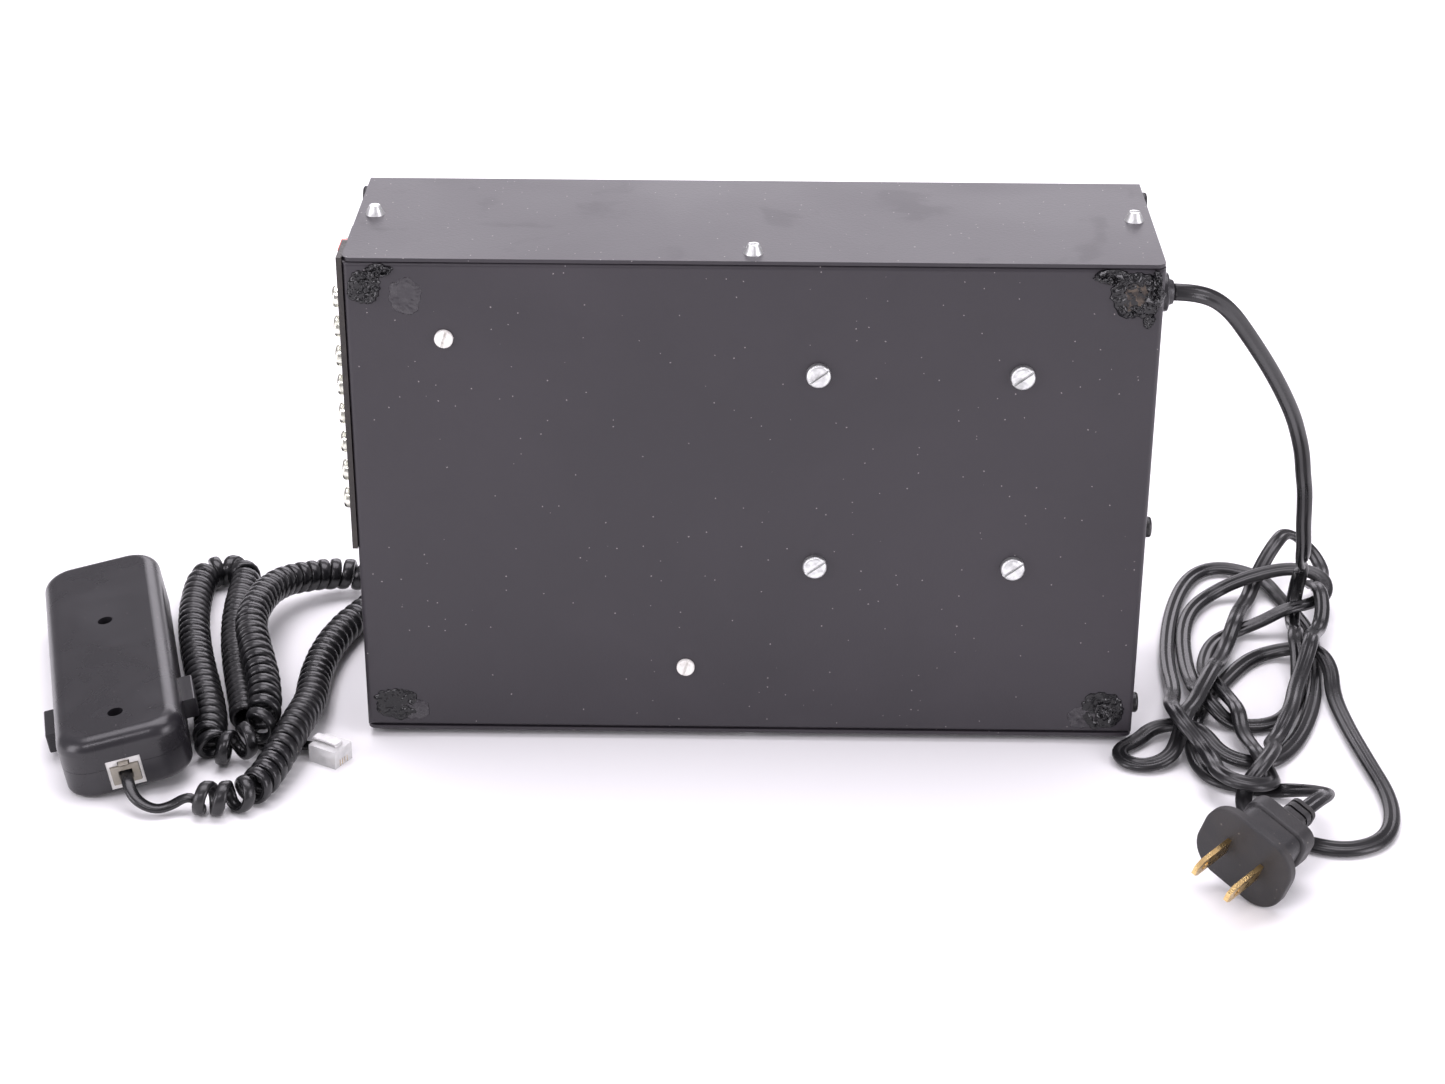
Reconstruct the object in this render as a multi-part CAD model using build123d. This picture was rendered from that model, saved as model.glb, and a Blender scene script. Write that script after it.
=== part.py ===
# Mains-fed low-voltage power distribution box with a wired two-button remote.
# The box stands on one long narrow side, its underside plate facing -Y. Millimetres, +Z up.
# Origin: the centre of the box's footprint, on the plane it stands on.
from build123d import *
import math
import os

os.makedirs("parts", exist_ok=True)

# ---------------------------------------------------------------- driving dimensions
BOX_WIDTH = 260.0            # along X
BOX_HEIGHT = 171.0           # along Z, cover to cover
BOX_DEPTH = 78.0             # along Y
SHEET = 1.2                  # steel sheet
SEAM_GAP = 0.1               # air between the cover and the base pan's lips
LIP = 10.0                   # width of the base pan's folded lips
PAN_BEND = 1.6               # outside radius of the base pan's folds
COVER_CORNER = 3.0           # plan radius of the cover's front corners

CONE_HEAD_HEIGHT = 3.0       # the box stands on the heads of the bottom cover screws
CONE_BASE_DIA = 6.4
CONE_TOP_DIA = 3.6
COVER_SCREW_SHANK = 3.0
END_SCREW_X = 124.2          # cover screws near the ends
END_SCREW_Y = 1.6
MID_SCREW_Y = -31.4          # cover screw at mid width, near the front

TERMINAL_COUNT = 8
TERMINAL_PITCH = 10.16
TERMINAL_Z = 122.6           # centre of the row
TERMINAL_Y = -32.0
TERMINAL_SHANK_R = 1.75
TERMINAL_HEAD_R = 3.5
TERMINAL_HEAD_HEIGHT = 2.5
RUNNING_GAP = 0.05           # radial, turning screw in its hole
BOARD_THICK = 1.75
BOARD_WIDTH = 16.0
BOARD_BOTTOM = 71.5

SWITCH_Y = -4.0
SWITCH_Z = 159.0
SWITCH_BEZEL = (15.0, 21.0)  # Y, Z
ROCKER = (9.2, 14.6)         # Y, Z
ROCKER_TILT = 10.0           # degrees each side of centre

JACK_Y = -12.0
JACK_Z = 42.0

CORD_EXIT_X = 134.2          # where the mains cord leaves the bushing
CORD_EXIT_Y = -27.0
CORD_EXIT_Z = 160.3

TRANSFORMER_X = 53.9
TRANSFORMER_Z = 101.2
TRANSFORMER_HOLES = (65.4, 68.6)

HANDSET_LENGTH = 132.0
HANDSET_WIDTH = 42.0
HANDSET_THICK = 21.0
HANDSET_SEAM = 9.6           # height of the joint line over the front face
HANDSET_CORNER = 11.0
HANDSET_WALL = 2.0
HANDSET_AT = (-202.2, -80.6, 3.1)
HANDSET_HEADING = 14.5       # degrees about Z
HANDSET_ROLL = 9.0           # degrees, right side up
BUTTON_TRAVEL = 2.0
BUTTON_SPAN = (30.0, 46.6)   # along the handset, from the jack end
BUTTON_HEIGHT = (4.0, 11.0)
BUTTON_REACH = 25.5          # from the handset's centre line

MAINS_CORD_DIA = 4.2
REMOTE_WIRE_DIA = 3.2
COIL_DIA = 11.7

# ---------------------------------------------------------------- derived
HALF_W = BOX_WIDTH / 2
HALF_D = BOX_DEPTH / 2
BOX_BOTTOM = CONE_HEAD_HEIGHT
BOX_TOP = BOX_BOTTOM + BOX_HEIGHT
PAN_BOTTOM = BOX_BOTTOM + SHEET + SEAM_GAP
PAN_TOP = BOX_TOP - SHEET - SEAM_GAP
MID_Z = (BOX_BOTTOM + BOX_TOP) / 2
FRONT = -HALF_D
BACK = HALF_D


# ---------------------------------------------------------------- helpers
def block(x0, x1, y0, y1, z0, z1):
    """A box given by its six faces."""
    return Pos((x0 + x1) / 2, (y0 + y1) / 2, (z0 + z1) / 2) * Box(abs(x1 - x0), abs(y1 - y0), abs(z1 - z0))


def rod(start, end, radius, end_radius=None):
    """A cylinder or cone from one point to another."""
    a, b = Vector(*start), Vector(*end)
    plane = Plane(origin=a, z_dir=(b - a).normalized())
    length = (b - a).length
    if end_radius is None:
        shape = Cylinder(radius, length, align=(Align.CENTER, Align.CENTER, Align.MIN))
    else:
        shape = Cone(radius, end_radius, length, align=(Align.CENTER, Align.CENTER, Align.MIN))
    return plane.location * shape


def placed(shape, origin, direction, x_dir=None):
    """Puts a shape made along +Z so that its +Z runs along direction."""
    plane = Plane(origin=Vector(*origin), z_dir=Vector(*direction).normalized(),
                  x_dir=None if x_dir is None else Vector(*x_dir))
    return plane.location * shape


def group(shapes):
    """Several separate solids as one node."""
    solids = []
    for shape in shapes:
        solids.extend(shape.solids())
    return Compound(solids)


def save(shape, name):
    export_step(shape, f"parts/{name}.step")


def slotted(shape, width, depth, reach, top):
    """Cuts a screwdriver slot across the top of a head made along +Z."""
    return shape - Pos(0, 0, top - depth / 2) * Box(reach, width, depth)


def pan_screw(head_r, head_h, shank_r, shank_l, slot=0.9, gap=0.0):
    """A pan-head screw, head along +Z from the sheet's face at 0, shank below it."""
    head = Pos(0, 0, gap) * Cylinder(head_r, head_h, align=(Align.CENTER, Align.CENTER, Align.MIN))
    head = fillet(head.edges().group_by(Axis.Z)[-1], head_h * 0.45)
    head = slotted(head, slot, head_h * 0.45, head_r * 3, gap + head_h)
    shank = Cylinder(shank_r, shank_l + gap, align=(Align.CENTER, Align.CENTER, Align.MIN))
    return head + Pos(0, 0, -shank_l) * shank


def hex_nut(across_flats, thickness, bore_r):
    """A hexagon nut standing on Z = 0."""
    radius = across_flats / math.sqrt(3)
    nut = extrude(RegularPolygon(radius, 6), thickness)
    return nut - Cylinder(bore_r, thickness * 3)


def rounded_slab(width, length, height, corner, z=0.0):
    """A slab with round plan corners, centred in X, from Y = 0, standing on z."""
    outline = Pos(0, length / 2) * RectangleRounded(width, length, corner)
    return Pos(0, 0, z) * extrude(outline, height)


def cord_tube(points, diameter, name, report=True):
    """A round tube along straight runs joined by tangent arcs, as large as the runs allow."""
    pts = [Vector(*p) for p in points]
    radii = []
    for before, here, after in zip(pts, pts[1:], pts[2:]):
        run_in, run_out = (here - before), (after - here)
        half_turn = math.radians(run_in.get_angle(run_out)) / 2
        radii.append(0.45 * min(run_in.length, run_out.length) / math.tan(half_turn))
    path = FilletPolyline(*pts, radius=radii)
    start = Plane(origin=path @ 0, z_dir=path % 0)
    tube = sweep(start * Circle(diameter / 2), path=path)
    if report:
        expected = math.pi * diameter ** 2 / 4 * path.length
        print(f"{name}: length {path.length:.0f}, radii {min(radii):.1f} to {max(radii):.1f}, "
              f"volume {tube.volume / expected:.3f} of section x length, points {len(pts)}")
        print("   ", " ".join(f"{r:.0f}" for r in radii))
    return tube


# ---------------------------------------------------------------- enclosure
COVER_SCREWS = [(-END_SCREW_X, END_SCREW_Y), (0.0, MID_SCREW_Y), (END_SCREW_X, END_SCREW_Y)]
SIDE_SCREW_HEAD_R = 3.5
SIDE_SCREW_SHANK_R = 1.5
REAR_SCREW_Y = 34.0
REAR_SCREW_Z = (13.0, 168.5)
WALL_DEVICE_Y = -32.0
WALL_DEVICE_Z = (12.5, 79.0)
STANDOFF_SCREWS = [(-98.6, 146.9), (-21.6, 28.3)]
PLAIN_STANDOFFS = [(-98.6, 28.3), (-21.6, 146.9)]
TERMINAL_ZS = [TERMINAL_Z + TERMINAL_PITCH * (i - (TERMINAL_COUNT - 1) / 2) for i in range(TERMINAL_COUNT)]
TRANSFORMER_CORNERS = [(TRANSFORMER_X + sx * TRANSFORMER_HOLES[0] / 2,
                        TRANSFORMER_Z + sz * TRANSFORMER_HOLES[1] / 2)
                       for sx in (-1, 1) for sz in (-1, 1)]


def side_screw_places():
    """Head seat and outward direction of every pan-head side screw."""
    rear = [((side * HALF_W, REAR_SCREW_Y, z), (side, 0, 0)) for side in (-1, 1) for z in REAR_SCREW_Z]
    front = [((HALF_W, WALL_DEVICE_Y, z), (1, 0, 0)) for z in WALL_DEVICE_Z]
    return rear + front


def make_base_pan():
    """Underside plate with two end walls folded back and narrow lips along its long edges."""
    outer = block(-HALF_W, HALF_W, FRONT, BACK - SHEET - 0.8, PAN_BOTTOM, PAN_TOP)
    outer = fillet(outer.faces().sort_by(Axis.Y)[0].edges(), PAN_BEND)
    inner = block(-HALF_W + SHEET, HALF_W - SHEET, FRONT + SHEET, BACK, PAN_BOTTOM + SHEET, PAN_TOP - SHEET)
    pan = outer - inner
    mouth = block(-HALF_W + LIP, HALF_W - LIP, FRONT + LIP, BACK, 0, BOX_TOP + 10)
    pan -= mouth
    for x, y in COVER_SCREWS:
        pan -= rod((x, y, 0), (x, y, BOX_TOP), COVER_SCREW_SHANK / 2 + RUNNING_GAP)
    for x, z in TRANSFORMER_CORNERS:
        pan -= rod((x, FRONT - 1, z), (x, FRONT + 3, z), 2.1)
    for x, z in STANDOFF_SCREWS:
        pan -= rod((x, FRONT - 1, z), (x, FRONT + 3, z), 1.6)
    for (x, y, z), (dx, _, _) in side_screw_places():
        pan -= rod((x + dx, y, z), (x - 3 * dx, y, z), SIDE_SCREW_SHANK_R + RUNNING_GAP)
    pan -= rod((HALF_W - 3, CORD_EXIT_Y, CORD_EXIT_Z), (HALF_W + 1, CORD_EXIT_Y, CORD_EXIT_Z), 4.8)
    slot_half = TERMINAL_PITCH * (TERMINAL_COUNT - 1) / 2 + 4.0
    pan -= block(-HALF_W - 1, -HALF_W + 3, TERMINAL_Y - 4.2, TERMINAL_Y + 4.2,
                 TERMINAL_Z - slot_half, TERMINAL_Z + slot_half)
    pan -= block(-HALF_W - 1, -HALF_W + 3, SWITCH_Y - 6.4, SWITCH_Y + 6.4, SWITCH_Z - 9.4, SWITCH_Z + 9.4)
    pan -= block(-HALF_W - 1, -HALF_W + 3, JACK_Y - 6.7, JACK_Y + 6.7, JACK_Z - 6.2, JACK_Z + 6.2)
    for z in (BOARD_BOTTOM + 4.0, BOX_TOP - 6.0):
        pan -= rod((-HALF_W - 1, BOARD_RIVET_Y, z), (-HALF_W + 3, BOARD_RIVET_Y, z), 1.25)
    return pan


def make_cover():
    """Top, back and bottom folded from one sheet, front corners rounded, four tabs inside the back."""
    outer = block(-HALF_W, HALF_W, FRONT, BACK, BOX_BOTTOM, BOX_TOP)
    outer = fillet(outer.edges().filter_by(Axis.X).group_by(Axis.Y)[-1], 2.2)
    inner = block(-HALF_W - 1, HALF_W + 1, FRONT - 1, BACK - SHEET, BOX_BOTTOM + SHEET, BOX_TOP - SHEET)
    inner = fillet(inner.edges().filter_by(Axis.X).group_by(Axis.Y)[-1], 1.0)
    cover = outer - inner
    for side in (-1, 1):
        inset = HALF_W - COVER_CORNER
        corner = block(side * inset, side * (HALF_W + 1), FRONT - 1, FRONT + COVER_CORNER, -1, BOX_TOP + 10)
        corner -= rod((side * inset, FRONT + COVER_CORNER, -2), (side * inset, FRONT + COVER_CORNER, BOX_TOP + 11),
                      COVER_CORNER)
        cover -= corner
    for x, y in COVER_SCREWS:
        cover -= rod((x, y, -1), (x, y, BOX_TOP + 5), COVER_SCREW_SHANK / 2 + 0.2)
    for side in (-1, 1):
        for z in REAR_SCREW_Z:
            x_out = side * (HALF_W - SHEET - 0.1)
            tab = block(x_out - side * SHEET, x_out, REAR_SCREW_Y - 6, BACK - SHEET, z - 5.5, z + 2.4)
            tab -= rod((x_out + side, REAR_SCREW_Y, z), (x_out - side * 3, REAR_SCREW_Y, z),
                       SIDE_SCREW_SHANK_R + RUNNING_GAP)
            cover += tab
    return cover


def make_cover_screws():
    """Conical slotted heads, three on top and three that the box stands on."""
    screws = []
    for z, up in ((BOX_TOP, 1), (BOX_BOTTOM, -1)):
        for x, y in COVER_SCREWS:
            head = Cone(CONE_BASE_DIA / 2, CONE_TOP_DIA / 2, CONE_HEAD_HEIGHT,
                        align=(Align.CENTER, Align.CENTER, Align.MIN))
            head = slotted(head, 0.8, 1.1, 10, CONE_HEAD_HEIGHT)
            shank = Pos(0, 0, -2.5) * Cylinder(COVER_SCREW_SHANK / 2, 5)
            screws.append(placed(head + shank, (x, y, z), (0, 0, up), (1, 0, 0)))
    return group(screws)


def make_side_screws():
    """Black pan-head screws in the end walls."""
    screw = pan_screw(SIDE_SCREW_HEAD_R, 2.3, SIDE_SCREW_SHANK_R, 6.5)
    return group([placed(screw, at, out, (0, 0, 1)) for at, out in side_screw_places()])


def blob(outline, thickness, at):
    """A low patch of set adhesive on the front plate, outline in X and Z round its centre."""
    face = make_face(Spline(*outline, periodic=True))
    plane = Plane(origin=(at[0], FRONT, at[1]), x_dir=(1, 0, 0), z_dir=(0, -1, 0))
    return plane.location * extrude(face, thickness)


def make_foot_adhesive():
    """Set adhesive where the four missing feet were."""
    shapes = []
    for sx, x, z in ((-1, -119.5, 163.0), (1, 119.5, 163.0), (-1, -119.5, 11.6), (1, 119.5, 11.6)):
        rise = 1 if z > MID_Z else -1
        reach_z = 8.2 if z > MID_Z else 6.4
        outline = [(-9.0, -reach_z * 0.55), (-6.0, reach_z * 0.8), (0.5, reach_z), (6.5, reach_z * 0.85),
                   (8.6, 0.0), (6.0, -reach_z * 0.9), (0.0, -reach_z * 1.0), (-5.5, -reach_z * 0.95)]
        outline = [(px * (1 if sx < 0 else -1), pz * rise) for px, pz in outline]
        if sx * rise > 0:
            outline.reverse()
        shapes.append(blob(outline, 0.9, (x, z)))
    return group(shapes)


# ---------------------------------------------------------------- terminals
BOARD_RIVET_Y = FRONT + 12.5


def make_terminal_board():
    """Insulating board on the outside of the left end wall, flush with the front and the top."""
    board = block(-HALF_W - BOARD_THICK, -HALF_W, FRONT, FRONT + BOARD_WIDTH, BOARD_BOTTOM, BOX_TOP)
    for z in TERMINAL_ZS:
        board -= rod((-HALF_W - 3, TERMINAL_Y, z), (-HALF_W + 1, TERMINAL_Y, z), TERMINAL_SHANK_R + RUNNING_GAP)
    for z in (BOARD_BOTTOM + 4.0, BOX_TOP - 6.0):
        board -= rod((-HALF_W - 3, BOARD_RIVET_Y, z), (-HALF_W + 1, BOARD_RIVET_Y, z), 1.25)
    return board


def make_board_rivets():
    """Two tubular rivets holding the terminal board."""
    rivets = []
    for z in (BOARD_BOTTOM + 4.0, BOX_TOP - 6.0):
        outside = -HALF_W - BOARD_THICK
        body = rod((outside - 0.5, BOARD_RIVET_Y, z), (-HALF_W + SHEET + 0.7, BOARD_RIVET_Y, z), 1.2)
        body += rod((outside - 0.6, BOARD_RIVET_Y, z), (outside, BOARD_RIVET_Y, z), 2.1)
        body += rod((-HALF_W + SHEET, BOARD_RIVET_Y, z), (-HALF_W + SHEET + 0.7, BOARD_RIVET_Y, z), 2.1)
        rivets.append(body)
    return group(rivets)


def make_terminal_screw(z):
    """A nickel pan-head terminal screw pointing out of the left end wall."""
    screw = pan_screw(TERMINAL_HEAD_R, TERMINAL_HEAD_HEIGHT, TERMINAL_SHANK_R, 9.5, slot=1.0, gap=0.2)
    return placed(screw, (-HALF_W - BOARD_THICK, TERMINAL_Y, z), (-1, 0, 0), (0, 0, 1))


def make_solder_lugs():
    """A flat ring tag under each terminal nut."""
    lugs = []
    for z in TERMINAL_ZS:
        ring = rod((-HALF_W + 0.1, TERMINAL_Y, z), (-HALF_W + 0.9, TERMINAL_Y, z), 3.7)
        tail = block(-HALF_W + 0.1, -HALF_W + 0.9, TERMINAL_Y, TERMINAL_Y + 3.9, z - 1.4, z + 1.4)
        leg = block(-HALF_W + 0.1, -HALF_W + 8.0, TERMINAL_Y + 3.1, TERMINAL_Y + 3.9, z - 1.4, z + 1.4)
        lug = ring + tail + leg
        lugs.append(lug - rod((-HALF_W - 1, TERMINAL_Y, z), (-HALF_W + 3, TERMINAL_Y, z), 1.85))
    return group(lugs)


def make_terminal_nuts():
    """Hexagon nuts inside the wall."""
    nut = hex_nut(5.6, 2.2, TERMINAL_SHANK_R + RUNNING_GAP)
    return group([placed(nut, (-HALF_W + 1.0, TERMINAL_Y, z), (1, 0, 0), (0, 0, 1)) for z in TERMINAL_ZS])


# ---------------------------------------------------------------- switch, socket and cord entry
PIVOT_X = -HALF_W - 0.4


def make_switch_housing():
    """Rocker switch body with a bezel outside the wall and two tabs inside."""
    by, bz = SWITCH_BEZEL
    bezel = block(-HALF_W - 2.0, -HALF_W, SWITCH_Y - by / 2, SWITCH_Y + by / 2,
                  SWITCH_Z - bz / 2, SWITCH_Z + bz / 2)
    bezel = fillet(bezel.edges().filter_by(Axis.X), 1.2)
    body = block(-HALF_W, -HALF_W + 14, SWITCH_Y - 6.2, SWITCH_Y + 6.2, SWITCH_Z - 9.2, SWITCH_Z + 9.2)
    housing = bezel + body
    housing -= block(-HALF_W - 3, -HALF_W + 7.5, SWITCH_Y - ROCKER[0] / 2 - 0.3, SWITCH_Y + ROCKER[0] / 2 + 0.3,
                     SWITCH_Z - ROCKER[1] / 2 - 1.1, SWITCH_Z + ROCKER[1] / 2 + 1.1)
    housing -= rod((PIVOT_X, SWITCH_Y - 5.6, SWITCH_Z), (PIVOT_X, SWITCH_Y + 5.6, SWITCH_Z), 0.85)
    for y in (SWITCH_Y - 3.4, SWITCH_Y + 3.4):
        housing += block(-HALF_W + 14, -HALF_W + 21, y - 0.4, y + 0.4, SWITCH_Z - 2.4, SWITCH_Z + 2.4)
    return housing


def make_switch_rocker():
    """Red translucent rocker, turned so that its upper half stands out."""
    y0, y1 = -ROCKER[0] / 2, ROCKER[0] / 2
    half = ROCKER[1] / 2
    profile = Polygon((5.6, -half), (5.2, half), (-4.4, half), (-2.1, 0.0), (-4.4, -half), align=None)
    plane = Plane(origin=(0, y1, 0), x_dir=(1, 0, 0), z_dir=(0, -1, 0))
    rocker = plane.location * extrude(profile, y1 - y0)
    rocker = fillet(rocker.edges().group_by(Axis.X)[0], 0.6)
    rocker -= block(-0.9, 6, y0 + 1.4, y1 - 1.4, -half + 1.4, half - 1.4)
    for side in (-1, 1):
        rocker += rod((0, side * (ROCKER[0] / 2 - 1.4), 0), (0, side * (ROCKER[0] / 2 + 0.9), 0), 0.8)
    turned = Rotation(0, -ROCKER_TILT, 0) * rocker
    return Pos(PIVOT_X, SWITCH_Y, SWITCH_Z) * turned


def make_remote_jack():
    """Modular socket in the left end wall, its mouth facing out."""
    body = block(-HALF_W, -HALF_W + 14, JACK_Y - 6.5, JACK_Y + 6.5, JACK_Z - 6.0, JACK_Z + 6.0)
    flange = block(-HALF_W - 1.0, -HALF_W, JACK_Y - 7.8, JACK_Y + 7.8, JACK_Z - 7.2, JACK_Z + 7.2)
    jack = body + flange
    jack -= block(-HALF_W - 2, -HALF_W + 12.5, JACK_Y - 5.0, JACK_Y + 5.0, JACK_Z - 3.4, JACK_Z + 3.6)
    jack -= block(-HALF_W - 2, -HALF_W + 12.5, JACK_Y - 2.2, JACK_Y + 2.2, JACK_Z - 4.8, JACK_Z - 3.4)
    return jack


def make_strain_relief():
    """Moulded bushing gripping the mains cord in the right end wall."""
    flange = rod((HALF_W, CORD_EXIT_Y, CORD_EXIT_Z), (HALF_W + 2.6, CORD_EXIT_Y, CORD_EXIT_Z), 6.3)
    flange = fillet(flange.edges().group_by(Axis.X)[-1], 0.8)
    boss = rod((HALF_W + 2.6, CORD_EXIT_Y, CORD_EXIT_Z), (CORD_EXIT_X, CORD_EXIT_Y, CORD_EXIT_Z), 4.4, 3.8)
    neck = rod((HALF_W - SHEET - 0.4, CORD_EXIT_Y, CORD_EXIT_Z), (HALF_W, CORD_EXIT_Y, CORD_EXIT_Z), 4.7)
    tail = rod((HALF_W - 11, CORD_EXIT_Y, CORD_EXIT_Z), (HALF_W - SHEET - 0.4, CORD_EXIT_Y, CORD_EXIT_Z), 4.7)
    return flange + boss + neck + tail


# ---------------------------------------------------------------- inside
PLATE_IN = FRONT + SHEET     # inner face of the underside plate
PCB_Y = PLATE_IN + 8.0
PCB_THICK = 1.6


CORE_HALF = (30.0, 12.0)     # half width in X, half stack in Z
CORE_Y = (PLATE_IN + 1.5, PLATE_IN + 51.5)
YOKE = 10.0
LEG_HALF = 10.0              # half width of the middle leg


def make_transformer_frame():
    """Steel strap over the core, standing on a four-footed base."""
    (hx, hz) = TRANSFORMER_HOLES
    frame = block(TRANSFORMER_X - hx / 2 - 6, TRANSFORMER_X + hx / 2 + 6, PLATE_IN, PLATE_IN + 1.5,
                  TRANSFORMER_Z - hz / 2 - 6, TRANSFORMER_Z + hz / 2 + 6)
    frame -= block(TRANSFORMER_X - 24, TRANSFORMER_X + 24, PLATE_IN - 1, PLATE_IN + 3,
                   TRANSFORMER_Z - 30, TRANSFORMER_Z + 30)
    z0, z1 = TRANSFORMER_Z - CORE_HALF[1], TRANSFORMER_Z + CORE_HALF[1]
    side_x, top_y = CORE_HALF[0] + 0.1, CORE_Y[1] + 0.1
    for side in (-1, 1):
        frame += block(TRANSFORMER_X + side * side_x, TRANSFORMER_X + side * (side_x + 1.5),
                       PLATE_IN, top_y + 1.5, z0, z1)
    frame += block(TRANSFORMER_X - side_x - 1.5, TRANSFORMER_X + side_x + 1.5, top_y, top_y + 1.5, z0, z1)
    for x, z in TRANSFORMER_CORNERS:
        frame -= rod((x, PLATE_IN - 1, z), (x, PLATE_IN + 3, z), 2.1)
    return frame


def make_transformer_core():
    """Stacked laminations with two windows round the middle leg."""
    core = block(TRANSFORMER_X - CORE_HALF[0], TRANSFORMER_X + CORE_HALF[0], CORE_Y[0], CORE_Y[1],
                 TRANSFORMER_Z - CORE_HALF[1], TRANSFORMER_Z + CORE_HALF[1])
    for side in (-1, 1):
        core -= block(TRANSFORMER_X + side * LEG_HALF, TRANSFORMER_X + side * (LEG_HALF + 10),
                      CORE_Y[0] + YOKE, CORE_Y[1] - YOKE, TRANSFORMER_Z - 20, TRANSFORMER_Z + 20)
    return core


def make_transformer_coil():
    """Winding round the middle leg, bulging from both faces of the stack."""
    y0, y1 = CORE_Y[0] + YOKE + 0.3, CORE_Y[1] - YOKE - 0.3
    half_x, half_z = LEG_HALF + 9.7, CORE_HALF[1] + 9.7
    coil = block(TRANSFORMER_X - half_x, TRANSFORMER_X + half_x, y0, y1,
                 TRANSFORMER_Z - half_z, TRANSFORMER_Z + half_z)
    coil = fillet(coil.edges().filter_by(Axis.Y), 3.0)
    return coil - block(TRANSFORMER_X - LEG_HALF - 0.2, TRANSFORMER_X + LEG_HALF + 0.2, y0 - 1, y1 + 1,
                        TRANSFORMER_Z - CORE_HALF[1] - 0.2, TRANSFORMER_Z + CORE_HALF[1] + 0.2)


def make_transformer_screws():
    """Four slotted pan heads on the underside plate."""
    screw = pan_screw(4.0, 2.3, 2.0, 9.0, slot=1.0)
    return group([placed(screw, (x, FRONT, z), (0, -1, 0), (0.8, 0, 0.6)) for x, z in TRANSFORMER_CORNERS])


def make_transformer_nuts():
    nut = hex_nut(7.0, 3.0, 2.05)
    return group([placed(nut, (x, PLATE_IN + 1.5, z), (0, 1, 0), (1, 0, 0)) for x, z in TRANSFORMER_CORNERS])


def make_standoffs():
    """Four posts between the underside plate and the circuit board."""
    posts = []
    for x, z in STANDOFF_SCREWS + PLAIN_STANDOFFS:
        post = rod((x, PLATE_IN, z), (x, PCB_Y, z), 3.2)
        post += rod((x, PCB_Y, z), (x, PCB_Y + PCB_THICK + 2.0, z), 1.5)
        posts.append(post - rod((x, PLATE_IN - 1, z), (x, PCB_Y - 0.5, z), 1.55))
    return group(posts)


def make_standoff_screws():
    """Two pale low-headed screws on the underside plate that hold the posts."""
    screw = pan_screw(3.0, 1.5, 1.5, 7.5, slot=0.8)
    return group([placed(screw, (x, FRONT, z), (0, -1, 0), (0.3, 0, 1)) for x, z in STANDOFF_SCREWS])


def make_circuit_board():
    board = block(-112, -10, PCB_Y, PCB_Y + PCB_THICK, 18, 157)
    for x, z in STANDOFF_SCREWS + PLAIN_STANDOFFS:
        board -= rod((x, PCB_Y - 1, z), (x, PCB_Y + 3, z), 1.6)
    return board


PCB_TOP = PCB_Y + PCB_THICK


def make_relays():
    """Two sealed relays."""
    return group([block(x - 9.5, x + 9.5, PCB_TOP, PCB_TOP + 15.5, 92, 107) for x in (-86, -58)])


def make_rectifier():
    """Four-diode bridge in one block."""
    body = block(-40, -18, PCB_TOP + 3.0, PCB_TOP + 18.0, 92, 97)
    legs = [rod((-37 + 5.3 * i, PCB_TOP, 94.5), (-37 + 5.3 * i, PCB_TOP + 3.2, 94.5), 0.6) for i in range(4)]
    shape = body
    for leg in legs:
        shape += leg
    return shape


def make_capacitor():
    """Electrolytic can standing on the board, with a rolled groove near its foot."""
    can = rod((-38, PCB_TOP, 66), (-38, PCB_TOP + 40, 66), 11)
    can = fillet(can.edges().filter_by(GeomType.CIRCLE), 1.0)
    groove = rod((-38, PCB_TOP + 4, 66), (-38, PCB_TOP + 5.2, 66), 14)
    groove -= rod((-38, PCB_TOP, 66), (-38, PCB_TOP + 9, 66), 10.2)
    return can - groove


def make_fuse():
    return rod((-92, PCB_TOP + 5.2, 40), (-72, PCB_TOP + 5.2, 40), 2.5)


def make_fuse_clips():
    clips = []
    for x in (-89.0, -75.0):
        clip = block(x - 2.5, x + 2.5, PCB_TOP, PCB_TOP + 8.0, 36.6, 43.4)
        clip -= block(x - 4, x + 4, PCB_TOP + 0.8, PCB_TOP + 9, 37.2, 42.8)
        clips.append(clip - rod((x - 4, PCB_TOP + 5.2, 40), (x + 4, PCB_TOP + 5.2, 40), 2.7))
    return group(clips)


def make_lead_header():
    """Pin header where the terminal leads meet the board."""
    return block(-108, -102, PCB_TOP, PCB_TOP + 9, 60, 60 + 8 * 5.08)


def make_power_transistors():
    """Two flat-tab transistors bolted to the right end wall by the front screws."""
    devices = []
    x = HALF_W - SHEET
    for z in WALL_DEVICE_Z:
        tab = block(x - 1.3, x, WALL_DEVICE_Y - 4.8, WALL_DEVICE_Y + 4.8, z - 3.6, z + 3.9)
        body = block(x - 4.5, x, WALL_DEVICE_Y - 4.8, WALL_DEVICE_Y + 4.8, z + 3.9, z + 13)
        hole = rod((x - 6, WALL_DEVICE_Y, z), (x + 1, WALL_DEVICE_Y, z), SIDE_SCREW_SHANK_R + RUNNING_GAP)
        devices.append(tab + body - hole)
    return group(devices)


def make_device_nuts():
    nut = hex_nut(5.4, 2.2, SIDE_SCREW_SHANK_R + RUNNING_GAP)
    x = HALF_W - SHEET - 1.3
    return group([placed(nut, (x, WALL_DEVICE_Y, z), (-1, 0, 0), (0, 0, 1)) for z in WALL_DEVICE_Z])


def lead(points, radius):
    """An insulated lead along straight runs with small bends."""
    return cord_tube(points, radius * 2, "", report=False)


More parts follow.
